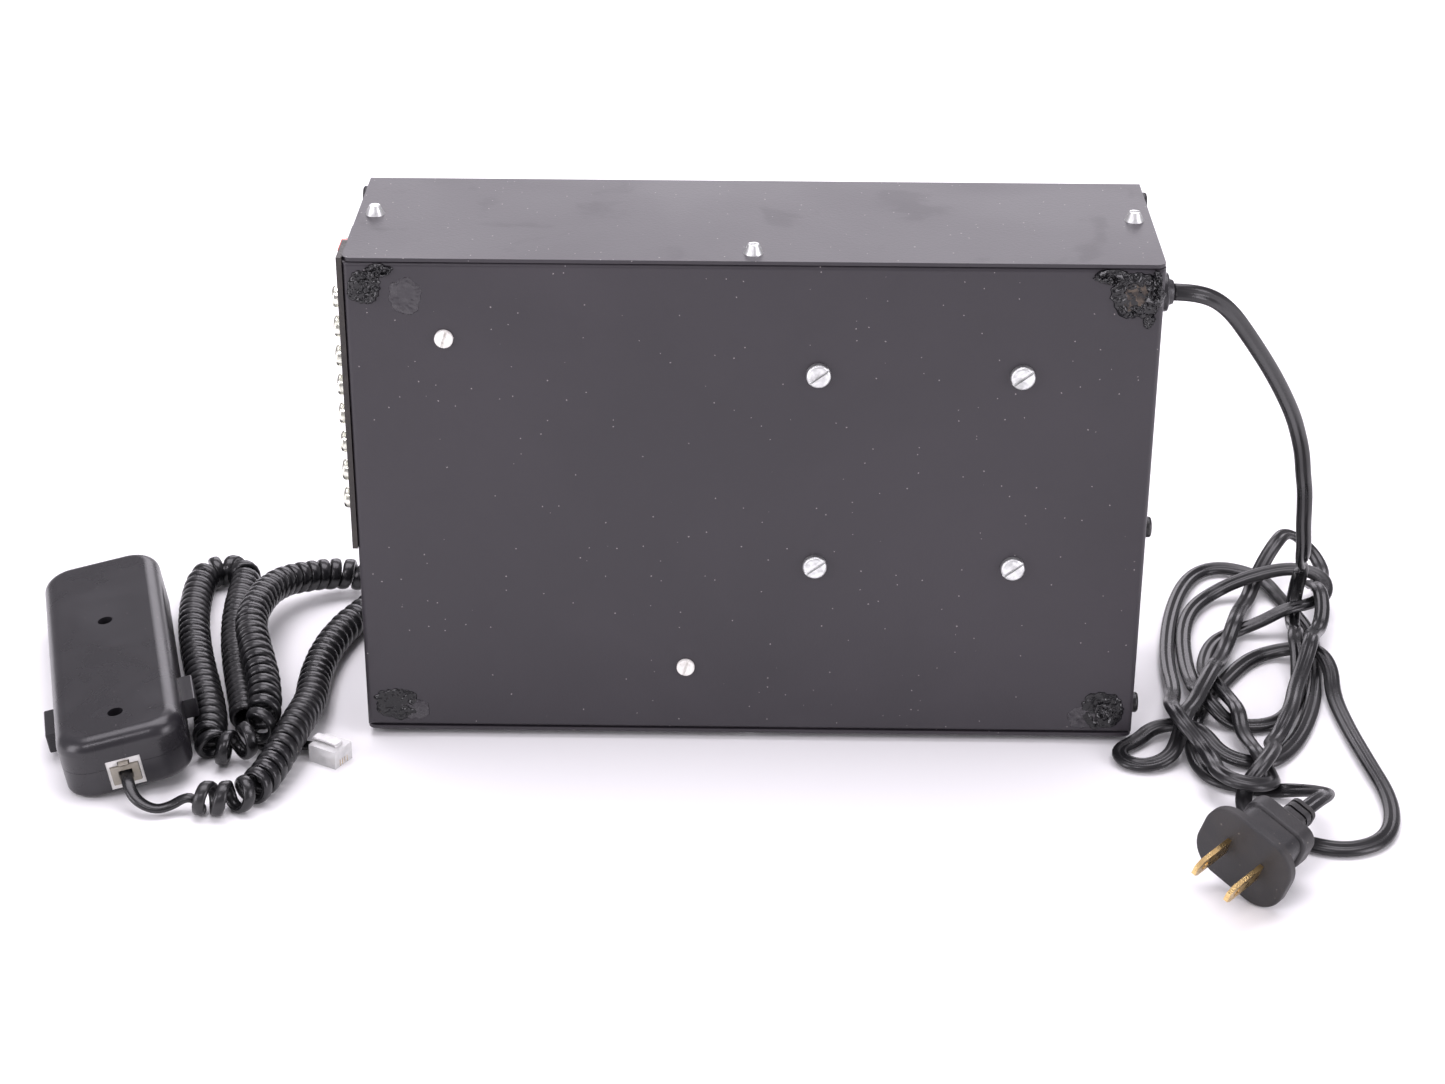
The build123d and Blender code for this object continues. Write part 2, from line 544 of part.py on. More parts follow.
def make_terminal_leads():
    """One lead from each solder lug to the header."""
    leads = []
    for i, z in enumerate(TERMINAL_ZS):
        foot = 62.5 + 5.08 * i
        start = -HALF_W + 8.4
        leads.append(lead([(start, TERMINAL_Y + 3.5, z), (start + 3.5, TERMINAL_Y + 3.7, z - 0.2),
                           (start + 9, -8 + 0.3 * i, (z + foot) / 2), (-106, -6, foot + 1.5),
                           (-105, PCB_TOP + 9.1, foot)], 0.8))
    return group(leads)


def make_mains_leads():
    """Two leads from the cord entry over the transformer to the fuse and the switch."""
    start = HALF_W - 11.1
    first = lead([(start, CORD_EXIT_Y + 1.6, CORD_EXIT_Z), (112, CORD_EXIT_Y + 1.7, CORD_EXIT_Z),
                  (100, -22, 157), (60, -14, 155), (10, -4, 156), (-40, 4, 160), (-80, 2, 162),
                  (-108.8, -0.6, SWITCH_Z + 0.5)], 1.1)
    second = lead([(start, CORD_EXIT_Y - 1.6, CORD_EXIT_Z), (113, CORD_EXIT_Y - 1.7, CORD_EXIT_Z),
                   (100, -27, 153), (50, -20, 149), (0, -10, 140), (-30, 4, 120), (-52, 12, 80),
                   (-66, 2, 50), (-70.3, PCB_TOP + 5.2, 40)], 1.1)
    return group([first, second])


# ---------------------------------------------------------------- remote handset
HANDSET = Pos(*HANDSET_AT) * Rotation(0, 0, HANDSET_HEADING) * Rotation(0, -HANDSET_ROLL, 0)
HANDSET_SCREW_YS = (16.0, 82.0)
HANDSET_JACK_X = -0.8
HANDSET_JACK = (11.4, 10.6)  # window width and height
HANDSET_JACK_Z = 1.5         # lower edge of the window


def handset_solid(inset, z0, z1, top_round, bottom_round):
    """The whole handset's outline, drawn in by inset, as one rounded solid."""
    width = HANDSET_WIDTH - 2 * inset
    length = HANDSET_LENGTH - 2 * inset
    body = Pos(0, inset) * rounded_slab(width, length, z1 - z0, HANDSET_CORNER - inset, z0)
    body = fillet(body.edges().group_by(Axis.Z)[-1], top_round)
    return fillet(body.edges().group_by(Axis.Z)[0], bottom_round)


def handset_shell():
    outer = handset_solid(0.0, 0.0, HANDSET_THICK, 5.0, 2.0)
    inner = handset_solid(HANDSET_WALL, HANDSET_WALL, HANDSET_THICK - HANDSET_WALL, 3.2, 0.6)
    shell = outer - inner
    jw, jh = HANDSET_JACK
    shell -= block(HANDSET_JACK_X - jw / 2 - 0.1, HANDSET_JACK_X + jw / 2 + 0.1, -1, 11.7,
                   HANDSET_JACK_Z - 0.1, HANDSET_JACK_Z + jh + 0.1)
    for side in (-1, 1):
        shell -= block(side * 10, side * 30, BUTTON_SPAN[0] - 0.3, BUTTON_SPAN[1] + 0.3,
                       BUTTON_HEIGHT[0] - 0.3, BUTTON_HEIGHT[1] + 0.3)
    return shell


def make_handset_back(shell):
    """Back shell, uppermost as the handset lies, with two screw wells."""
    half = shell & block(-40, 40, -10, HANDSET_LENGTH + 10, HANDSET_SEAM + 0.1, 40)
    for y in HANDSET_SCREW_YS:
        half += rod((0, y, HANDSET_SEAM + 0.1), (0, y, HANDSET_THICK - 1.0), 4.2)
        half -= rod((0, y, HANDSET_THICK - 7.0), (0, y, HANDSET_THICK + 1), 2.6)
        half -= rod((0, y, 0), (0, y, HANDSET_THICK), 1.3)
    return HANDSET * half


def make_handset_front(shell):
    """Front shell, underneath as the handset lies, with two posts for the screws."""
    half = shell & block(-40, 40, -10, HANDSET_LENGTH + 10, -5, HANDSET_SEAM)
    for y in HANDSET_SCREW_YS:
        half += rod((0, y, HANDSET_WALL - 0.5), (0, y, HANDSET_SEAM), 3.6)
        half -= rod((0, y, HANDSET_WALL), (0, y, HANDSET_SEAM + 1), 1.2)
    return HANDSET * half


def make_handset_screws():
    seat = HANDSET_THICK - 7.0
    screw = pan_screw(2.3, 1.6, 1.15, 11.0, slot=0.7)
    return group([HANDSET * placed(screw, (0, y, seat), (0, 0, 1), (0.7, 0.7, 0)) for y in HANDSET_SCREW_YS])


def make_handset_jack():
    """Clear modular socket in the end of the handset."""
    jw, jh = HANDSET_JACK
    z0 = HANDSET_JACK_Z
    jack = block(HANDSET_JACK_X - jw / 2, HANDSET_JACK_X + jw / 2, 0.3, 11.6, z0, z0 + jh)
    jack -= block(HANDSET_JACK_X - 4.75, HANDSET_JACK_X + 4.75, -1, 10.8, z0 + 1.6, z0 + 8.4)
    jack -= block(HANDSET_JACK_X - 2.0, HANDSET_JACK_X + 2.0, -1, 10.8, z0 + 8.0, z0 + 9.8)
    return HANDSET * jack


def modular_plug(x, y, z, depth=11.0):
    """A clear modular plug body with its latch, mouth end towards +Y, cord end towards -Y."""
    body = block(x - 4.6, x + 4.6, y, y + depth, z, z + 6.4)
    body -= block(x - 2.3, x + 2.3, y - 1, y + 3.0, z + 1.5, z + 4.9)
    latch = block(x - 1.6, x + 1.6, y - 0.5, y + depth - 1.5, z + 7.0, z + 7.8)
    latch += block(x - 1.6, x + 1.6, y + depth - 2.3, y + depth - 1.5, z + 6.0, z + 7.6)
    return body + latch


def make_handset_plug():
    return HANDSET * modular_plug(HANDSET_JACK_X, -0.6, HANDSET_JACK_Z + 1.8)


def make_button(side):
    """Side push button: block outside, flange inside, stem to its switch."""
    x_out = side * BUTTON_REACH
    wall_in = side * (HANDSET_WIDTH / 2 - HANDSET_WALL)
    cap = block(wall_in, x_out, BUTTON_SPAN[0], BUTTON_SPAN[1], BUTTON_HEIGHT[0], BUTTON_HEIGHT[1])
    cap = fillet(cap.edges().group_by(Axis.X)[0 if side < 0 else -1], 0.6)
    flange_out = wall_in - side * 0.3
    flange = block(flange_out, flange_out - side * 1.5, BUTTON_SPAN[0] - 1.6, BUTTON_SPAN[1] + 1.6,
                   BUTTON_HEIGHT[0] - 1.2, BUTTON_HEIGHT[1] + 1.2)
    bridge = block(flange_out - side * 0.2, wall_in + side * 0.2, BUTTON_SPAN[0], BUTTON_SPAN[1],
                   BUTTON_HEIGHT[0], BUTTON_HEIGHT[1])
    stem = rod((flange_out - side * 1.3, 38.3, 7.5), (flange_out - side * 3.2, 38.3, 7.5), 1.6)
    return HANDSET * (cap + flange + bridge + stem)


def make_button_switches():
    """Two miniature switches, one behind each button."""
    shapes = []
    for side in (-1, 1):
        tip = side * (HANDSET_WIDTH / 2 - HANDSET_WALL - 0.3 - 3.2 - BUTTON_TRAVEL - 0.2)
        body = block(tip - side * 1.0, tip - side * 7.0, 33.0, 43.6, 4.0, 10.4)
        body += rod((tip - side * 1.2, 38.3, 7.5), (tip, 38.3, 7.5), 1.0)
        shapes.append(HANDSET * body)
    return group(shapes)


def make_handset_board():
    board = block(-15, 15, 13.4, 74, 10.6, 12.0)
    for y in HANDSET_SCREW_YS:
        board -= rod((0, y, 5), (0, y, 18), 4.8)
    return HANDSET * board


# ---------------------------------------------------------------- mains plug
PLUG_FACE = Vector(152.8, -134.7, 15.4)
PLUG_AXIS = Vector(-0.663, -0.749, -0.051)     # out of the face, along the blades
PLUG_SPREAD = Vector(0.711, -0.606, -0.348)    # from blade to blade
PLUG_TAIL = 34.0                               # from the face back to the cord's exit


def plug_frame():
    z_dir = PLUG_AXIS.normalized()
    x_dir = (PLUG_SPREAD - z_dir * PLUG_SPREAD.dot(z_dir)).normalized()
    return Plane(origin=PLUG_FACE, x_dir=x_dir, z_dir=z_dir).location


def make_mains_plug():
    """Moulded two-blade plug: broad flange, neck, finger grip and ribbed tail."""
    flange = Pos(0, 0, -3.0) * extrude(RectangleRounded(33.0, 26.2, 10.0), 3.0)
    flange = fillet(flange.edges().group_by(Axis.Z)[-1], 0.8)
    neck = Pos(0, 0, -15.5) * extrude(RectangleRounded(21.0, 13.6, 4.0), 13.0)
    grip = Pos(0, 0, -22.8) * extrude(RectangleRounded(23.4, 15.2, 5.0), 7.4)
    grip = fillet(grip.edges().group_by(Axis.Z)[0] + grip.edges().group_by(Axis.Z)[-1], 1.6)
    tail = Pos(0, 0, -PLUG_TAIL) * extrude(RectangleRounded(9.0, 7.4, 2.5), PLUG_TAIL - 22.0)
    plug = flange + neck + grip + tail
    for i in range(3):
        ring = Pos(0, 0, -32.0 + 3.2 * i) * (Box(12, 12, 0.9) - Box(7.2, 5.6, 2))
        plug -= ring
    for side in (-1, 1):
        plug -= Pos(side * 6.35, 0, 0) * Box(1.5, 6.35, 12)
    return plug_frame() * plug


def make_plug_blades():
    blades = []
    for side in (-1, 1):
        blade = block(side * 6.35 - 0.75, side * 6.35 + 0.75, -3.175, 3.175, -6.0, 17.2)
        tip = blade.edges().group_by(Axis.Z)[-1].filter_by(Axis.X)
        blade = chamfer(tip, 2.2, 1.5)
        blade -= rod((side * 6.35 - 2, 0, 12.6), (side * 6.35 + 2, 0, 12.6), 1.5)
        blades.append(plug_frame() * blade)
    return group(blades)


# ---------------------------------------------------------------- cords
# The mains cord hangs from the strain relief, then lies on the floor in loose crossing loops
# and comes round behind the plug.
MAINS_POINTS = [
    (CORD_EXIT_X, CORD_EXIT_Y, CORD_EXIT_Z), (143, CORD_EXIT_Y, CORD_EXIT_Z), (153.5, -19.5, 152.5),
    (164, -10, 137), (175, 2, 119),
    (184.5, 14, 100.5), (189, 21.5, 88.5), (191.5, 24.5, 80), (193, 27, 71.5), (195, 31, 63.5),
    (196, 33, 54.5), (197, 36.5, 46.5), (198.5, 39.5, 38), (199.5, 44, 29), (201, 50.5, 22.5),
    (200, 52.5, 13.5), (198.5, 48, 6), (197.5, 39, 4), (197, 30, 8.5), (194.5, 20.5, 11),
    (194.5, 11, 8), (193.5, 2.5, 4), (191.5, -10.5, 2.5), (184, -26, 2.5), (174.5, -31, 2.5),
    (164.5, -28.5, 2.5), (158.5, -22.5, 7.5), (155, -13, 7.5), (155.5, -3, 3.5), (155, 12.5, 3),
    (157, 36.5, 3), (162.5, 55, 3), (172, 67, 3.5), (183, 69, 8.5), (197, 72.5, 11), (206.5, 70.5, 12),
    (212.5, 63, 12), (211.5, 53.5, 9.5), (204, 46, 10), (195, 42, 10.5), (186, 40.5, 5.5),
    (176.5, 38.5, 2.5), (166.5, 29, 3), (160.5, 9, 3), (161.5, -7.5, 8), (166.5, -18, 6),
    (167.5, -29.5, 8.5), (167.5, -38, 5), (169.5, -47.5, 5), (170, -57, 8), (173, -66.5, 4.5),
    (172.5, -75.5, 7.5), (166.5, -81, 9.5), (158.5, -80, 10.5), (154, -73, 10), (154.5, -63.5, 7.5),
    (152, -53.5, 8), (145.5, -47, 14), (143, -37.5, 14.5), (144.5, -27.5, 10.5), (147.5, -13.5, 4.5),
    (148.5, -3, 3.5), (148.5, 7, 3), (149.5, 22.5, 3), (153.5, 46, 3), (160, 69, 3), (167.5, 84.5, 2.5),
    (176.5, 89.5, 3), (186.5, 87.5, 2.5), (193.5, 80, 2.5), (197, 64.5, 2.5), (203.5, 42.5, 2.5),
    (203, 23.5, 2.5), (200.5, 6.5, 2.5), (195.5, -17, 2.5), (187, -39.5, 2.5), (177.5, -53, 2.5),
    (168, -55.5, 2.5), (158.5, -51.5, 4), (153.5, -43.5, 8), (147.5, -35, 6), (138, -34, 4),
    (132, -41, 2.5), (124.5, -47.5, 2.5), (126, -55, 2.5), (133, -58, 2.5), (141, -55, 4),
    (145, -46.5, 6), (147.5, -38.5, 12), (152.5, -29.5, 11.5), (156.5, -20, 13), (162.5, -5, 13),
    (166.5, 9.5, 6), (171.5, 25.5, 4), (175.5, 35, 9), (179, 47.5, 6.5), (184.5, 63.5, 2.5),
    (188, 73, 4), (192.5, 79, 11), (198, 85.5, 16.5), (202.5, 93.5, 16), (209, 97, 11.5),
    (214.5, 93.5, 6.5), (216.5, 85, 3.5), (213.5, 76, 5), (209, 67, 5.5), (206, 59.5, 12),
    (208, 49.5, 15.5), (208, 40, 11.5), (205.5, 31.5, 8), (201.5, 22.5, 10.5), (199, 12.5, 14.5),
    (195, 1, 10.5), (189.5, -13, 8), (186, -27.5, 8.5), (180, -39.5, 4.5), (175.5, -48.5, 6),
    (175.5, -58, 11), (168.5, -71.5, 11), (162.5, -77, 5.5), (161.5, -86, 2.5), (166, -95.5, 2.5),
    (178.5, -105, 2.5), (190.5, -109, 2.5), (202, -104.5, 2.5), (208.5, -94, 2.5), (211, -76, 2.5),
    (207.5, -52.5, 3), (205, -28.5, 2.5), (204, -7.5, 2.5), (205.5, 6, 6), (202, 15.5, 8), (195, 22, 5),
    (185.5, 22.5, 2.5), (177.5, 16.5, 2.5), (168.5, 3, 2.5), (157, -17, 2.5), (150, -40, 2.5),
    (150, -55.5, 2.5), (153.5, -65.5, 2.5), (163, -70, 2.3), (172, -72.5, 2.3), (180, -75.5, 4.5),
    (185.5, -83.5, 9), (187, -93, 14),
]

# The coiled part of the remote's cord: out past the box's corner, back over itself, round the
# handset's side and up beside itself again.
COIL_POINTS = [
    (-178.6, -90, 5.9), (-171.5, -91.3, 5.9), (-163.5, -87.5, 5.9), (-158.5, -77, 6.8), (-155, -62, 9),
    (-152.4, -46, 10), (-150.8, -28, 7.2), (-152.4, -10, 5.9), (-151.3, 10, 5.9), (-147, 28, 5.9),
    (-139.5, 43, 5.9), (-135, 52, 6.2), (-136.2, 61, 6.5), (-144, 67, 7.4), (-154, 65.5, 8.8),
    (-164.5, 59.5, 10.6), (-172.5, 49, 13.6), (-176.5, 32, 16.7), (-177.6, 10, 18.2), (-172.5, -9, 17.8),
    (-167, -27, 16.6), (-163.8, -42, 14.4), (-163.8, -53.3, 11.2), (-169.5, -59.8, 8), (-177, -60, 6.4),
    (-182, -54.5, 5.9), (-182.4, -44.5, 5.9), (-186.1, -29, 5.9), (-191.2, -12, 5.9), (-197.6, 10, 5.9),
    (-202.8, 34, 5.9), (-204.8, 55, 5.9), (-204.6, 67, 5.9), (-200, 72.7, 5.9), (-193.4, 73, 5.9),
    (-188.6, 67.8, 5.9), (-188, 57, 5.9), (-187, 36, 5.9), (-183.4, 12, 5.9), (-177.6, -13, 5.9),
    (-173.3, -29.5, 5.9), (-171.4, -39.5, 5.9),
]

# From the handset's plug to the start of the coil.
LEAD_END = [(-199.8, -91, 5.6), (-193, -93, 2.7), (-187.5, -91, 3.4), (-183, -89.2, 5.9), COIL_POINTS[0]]

# From the coil's last turn, under the first run of coil, to the loose plug.
LOOSE_PLUG_AT = (-140.8, -55.0)
LOOSE_PLUG_HEADING = -120.0
TAIL_POINTS = [COIL_POINTS[-1], (-170.6, -43.7, 5.9), (-168.4, -48.8, 3.4), (-162.5, -51.2, 1.8),
               (-155, -49.4, 1.8)]


def world(location, point):
    """A point of a placed piece's own frame, in the assembly's frame."""
    moved = (location * Pos(*point)).position
    return (moved.X, moved.Y, moved.Z)


def make_mains_cord():
    ends = [world(plug_frame(), (0, 0, -PLUG_TAIL - back)) for back in (8.0, 0.0)]
    return cord_tube(MAINS_POINTS + ends, MAINS_CORD_DIA, "mains_cord")


def make_remote_lead():
    """Round wire from inside the handset plug to the coil."""
    start = world(HANDSET, (HANDSET_JACK_X, 2.4, HANDSET_JACK_Z + 5.0))
    leave = world(HANDSET, (HANDSET_JACK_X, -4.2, HANDSET_JACK_Z + 5.0))
    return cord_tube([start, leave] + LEAD_END, REMOTE_WIRE_DIA, "remote_lead")


CONTACT_XS = (-1.9, -0.6, 0.6, 1.9)
LOOSE_PLUG = Pos(LOOSE_PLUG_AT[0], LOOSE_PLUG_AT[1], 0) * Rotation(0, 0, LOOSE_PLUG_HEADING)


def make_remote_tail():
    ends = [world(LOOSE_PLUG, (0, y, 3.2)) for y in (-8.5, -2.5)]
    return cord_tube(TAIL_POINTS + ends, REMOTE_WIRE_DIA, "remote_tail")


def make_loose_contacts():
    """Four gold contact blades in the loose plug's nose."""
    return group([LOOSE_PLUG * block(x - 0.2, x + 0.2, 2.0, 5.4, 0.3, 2.6) for x in CONTACT_XS])


def make_loose_plug():
    body = modular_plug(0, -5.5, 0)
    for x in CONTACT_XS:
        body -= block(x - 0.2, x + 0.2, 2.0, 6, -1, 2.6)
    return LOOSE_PLUG * body


# ---------------------------------------------------------------- the assembly, one file per node
shell = handset_shell()
NODES = {
    "base_pan": make_base_pan(),
    "cover": make_cover(),
    "cover_screws": make_cover_screws(),
    "side_screws": make_side_screws(),
    "foot_adhesive": make_foot_adhesive(),
    "terminal_board": make_terminal_board(),
    "board_rivets": make_board_rivets(),
    "terminal_nuts": make_terminal_nuts(),
    "solder_lugs": make_solder_lugs(),
    "switch_housing": make_switch_housing(),
    "switch_rocker": make_switch_rocker(),
    "remote_jack": make_remote_jack(),
    "strain_relief": make_strain_relief(),
    "transformer_frame": make_transformer_frame(),
    "transformer_core": make_transformer_core(),
    "transformer_coil": make_transformer_coil(),
    "transformer_screws": make_transformer_screws(),
    "transformer_nuts": make_transformer_nuts(),
    "standoffs": make_standoffs(),
    "standoff_screws": make_standoff_screws(),
    "circuit_board": make_circuit_board(),
    "relays": make_relays(),
    "rectifier": make_rectifier(),
    "capacitor": make_capacitor(),
    "fuse": make_fuse(),
    "fuse_clips": make_fuse_clips(),
    "lead_header": make_lead_header(),
    "power_transistors": make_power_transistors(),
    "device_nuts": make_device_nuts(),
    "terminal_leads": make_terminal_leads(),
    "mains_leads": make_mains_leads(),
    "handset_back": make_handset_back(shell),
    "handset_front": make_handset_front(shell),
    "handset_screws": make_handset_screws(),
    "handset_jack": make_handset_jack(),
    "handset_plug": make_handset_plug(),
    "handset_board": make_handset_board(),
    "button_switches": make_button_switches(),
    "left_button": make_button(-1),
    "right_button": make_button(1),
    "remote_lead": make_remote_lead(),
    "remote_coil": cord_tube(COIL_POINTS, COIL_DIA, "remote_coil"),
    "remote_tail": make_remote_tail(),
    "loose_plug": make_loose_plug(),
    "loose_contacts": make_loose_contacts(),
    "mains_cord": make_mains_cord(),
    "mains_plug": make_mains_plug(),
    "mains_blades": make_plug_blades(),
}
for number, z in enumerate(TERMINAL_ZS, start=1):
    NODES[f"terminal_screw_{number}"] = make_terminal_screw(z)

for name, shape in NODES.items():
    save(shape, name)
print(len(NODES), "nodes")
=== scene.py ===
# Mains-fed low-voltage power distribution box with a wired remote: how it looks.
# Everything is in metres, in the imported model's own frame.
import math

import bpy
from mathutils import Matrix, Vector, noise


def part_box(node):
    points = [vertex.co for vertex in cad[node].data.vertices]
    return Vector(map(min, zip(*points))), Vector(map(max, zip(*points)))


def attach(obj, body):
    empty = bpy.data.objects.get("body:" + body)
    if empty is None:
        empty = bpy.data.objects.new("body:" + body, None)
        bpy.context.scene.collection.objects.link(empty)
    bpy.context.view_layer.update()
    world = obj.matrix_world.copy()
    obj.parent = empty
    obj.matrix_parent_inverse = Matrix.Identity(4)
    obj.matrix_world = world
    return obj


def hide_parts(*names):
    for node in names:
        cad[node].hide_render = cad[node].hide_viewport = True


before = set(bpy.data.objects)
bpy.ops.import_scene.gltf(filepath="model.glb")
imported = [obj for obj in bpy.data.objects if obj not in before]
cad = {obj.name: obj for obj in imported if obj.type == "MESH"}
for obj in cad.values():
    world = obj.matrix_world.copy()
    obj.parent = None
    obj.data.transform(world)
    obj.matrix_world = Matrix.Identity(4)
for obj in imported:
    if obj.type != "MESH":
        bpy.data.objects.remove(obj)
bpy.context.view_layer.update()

# ---------------------------------------------------------------- the camera
# A long lens about a metre off, a little above the box and looking down on it, square to
# the underside plate.
CAMERA_AT = Vector((0.001609, -0.891249, 0.499013))
CAMERA_YAW = -0.01286
CAMERA_DOWN = 0.461316
CAMERA_ROLL = 0.004316
SENSOR_WIDTH = 36.0          # millimetres, as is the focal length
FOCAL_LENGTH = 71.89

ahead = Vector((math.sin(CAMERA_YAW) * math.cos(CAMERA_DOWN),
                math.cos(CAMERA_YAW) * math.cos(CAMERA_DOWN),
                -math.sin(CAMERA_DOWN)))
level = Vector((math.cos(CAMERA_YAW), -math.sin(CAMERA_YAW), 0.0))
above = level.cross(ahead)
right = level * math.cos(CAMERA_ROLL) + above * math.sin(CAMERA_ROLL)
upward = above * math.cos(CAMERA_ROLL) - level * math.sin(CAMERA_ROLL)

lens = bpy.data.cameras.new("camera")
lens.sensor_fit = "HORIZONTAL"
lens.sensor_width = SENSOR_WIDTH
lens.lens = FOCAL_LENGTH
lens.clip_start = 0.05
camera = bpy.data.objects.new("camera", lens)
camera_turn = Matrix((right, upward, -ahead)).transposed().to_4x4()
camera.matrix_world = Matrix.Translation(CAMERA_AT) @ camera_turn
bpy.context.scene.collection.objects.link(camera)
bpy.context.scene.camera = camera

# ---------------------------------------------------------------- the mains cord
# Flat twin flex: two stranded wires side by side in one glossy black vinyl jacket with a
# groove down the middle. It hangs from the bushing in the end wall and lies in loose
# crossing loops on the floor, and the moulded plug closes its far end.
FLEX_WIDTH = 0.0056
FLEX_THICK = 0.0029
FLEX_WAIST = 0.48            # how deep the groove between the two wires is, of half the thickness
FLEX_LEAN_FLOOR = 0.30       # how far its flat side leans to the front where it lies on the floor
FLEX_LEAN_HANGING = 2.2      # and where it hangs
FLEX_TWIST = 0.16            # radians the jacket rocks either side of that
FLEX_TWIST_EVERY = 0.055     # metres of cord to one radian of that rocking
FLEX_LOW = 0.012             # below this height the flex counts as lying
FLEX_CLIMB = 0.04            # and this much higher it counts as hanging
FLEX_POINTS = 28             # round its outline
FLEX_LOBE = 0.9              # how square the two lobes are; 1 is a plain oval
FLEX_GROOVE = 0.2            # how wide the groove is, of half the width
FLEX_STEP = 0.0016           # along the cord, from one ring of points to the next
LINE_STEPS = 8               # points of a soft line to each one of its route
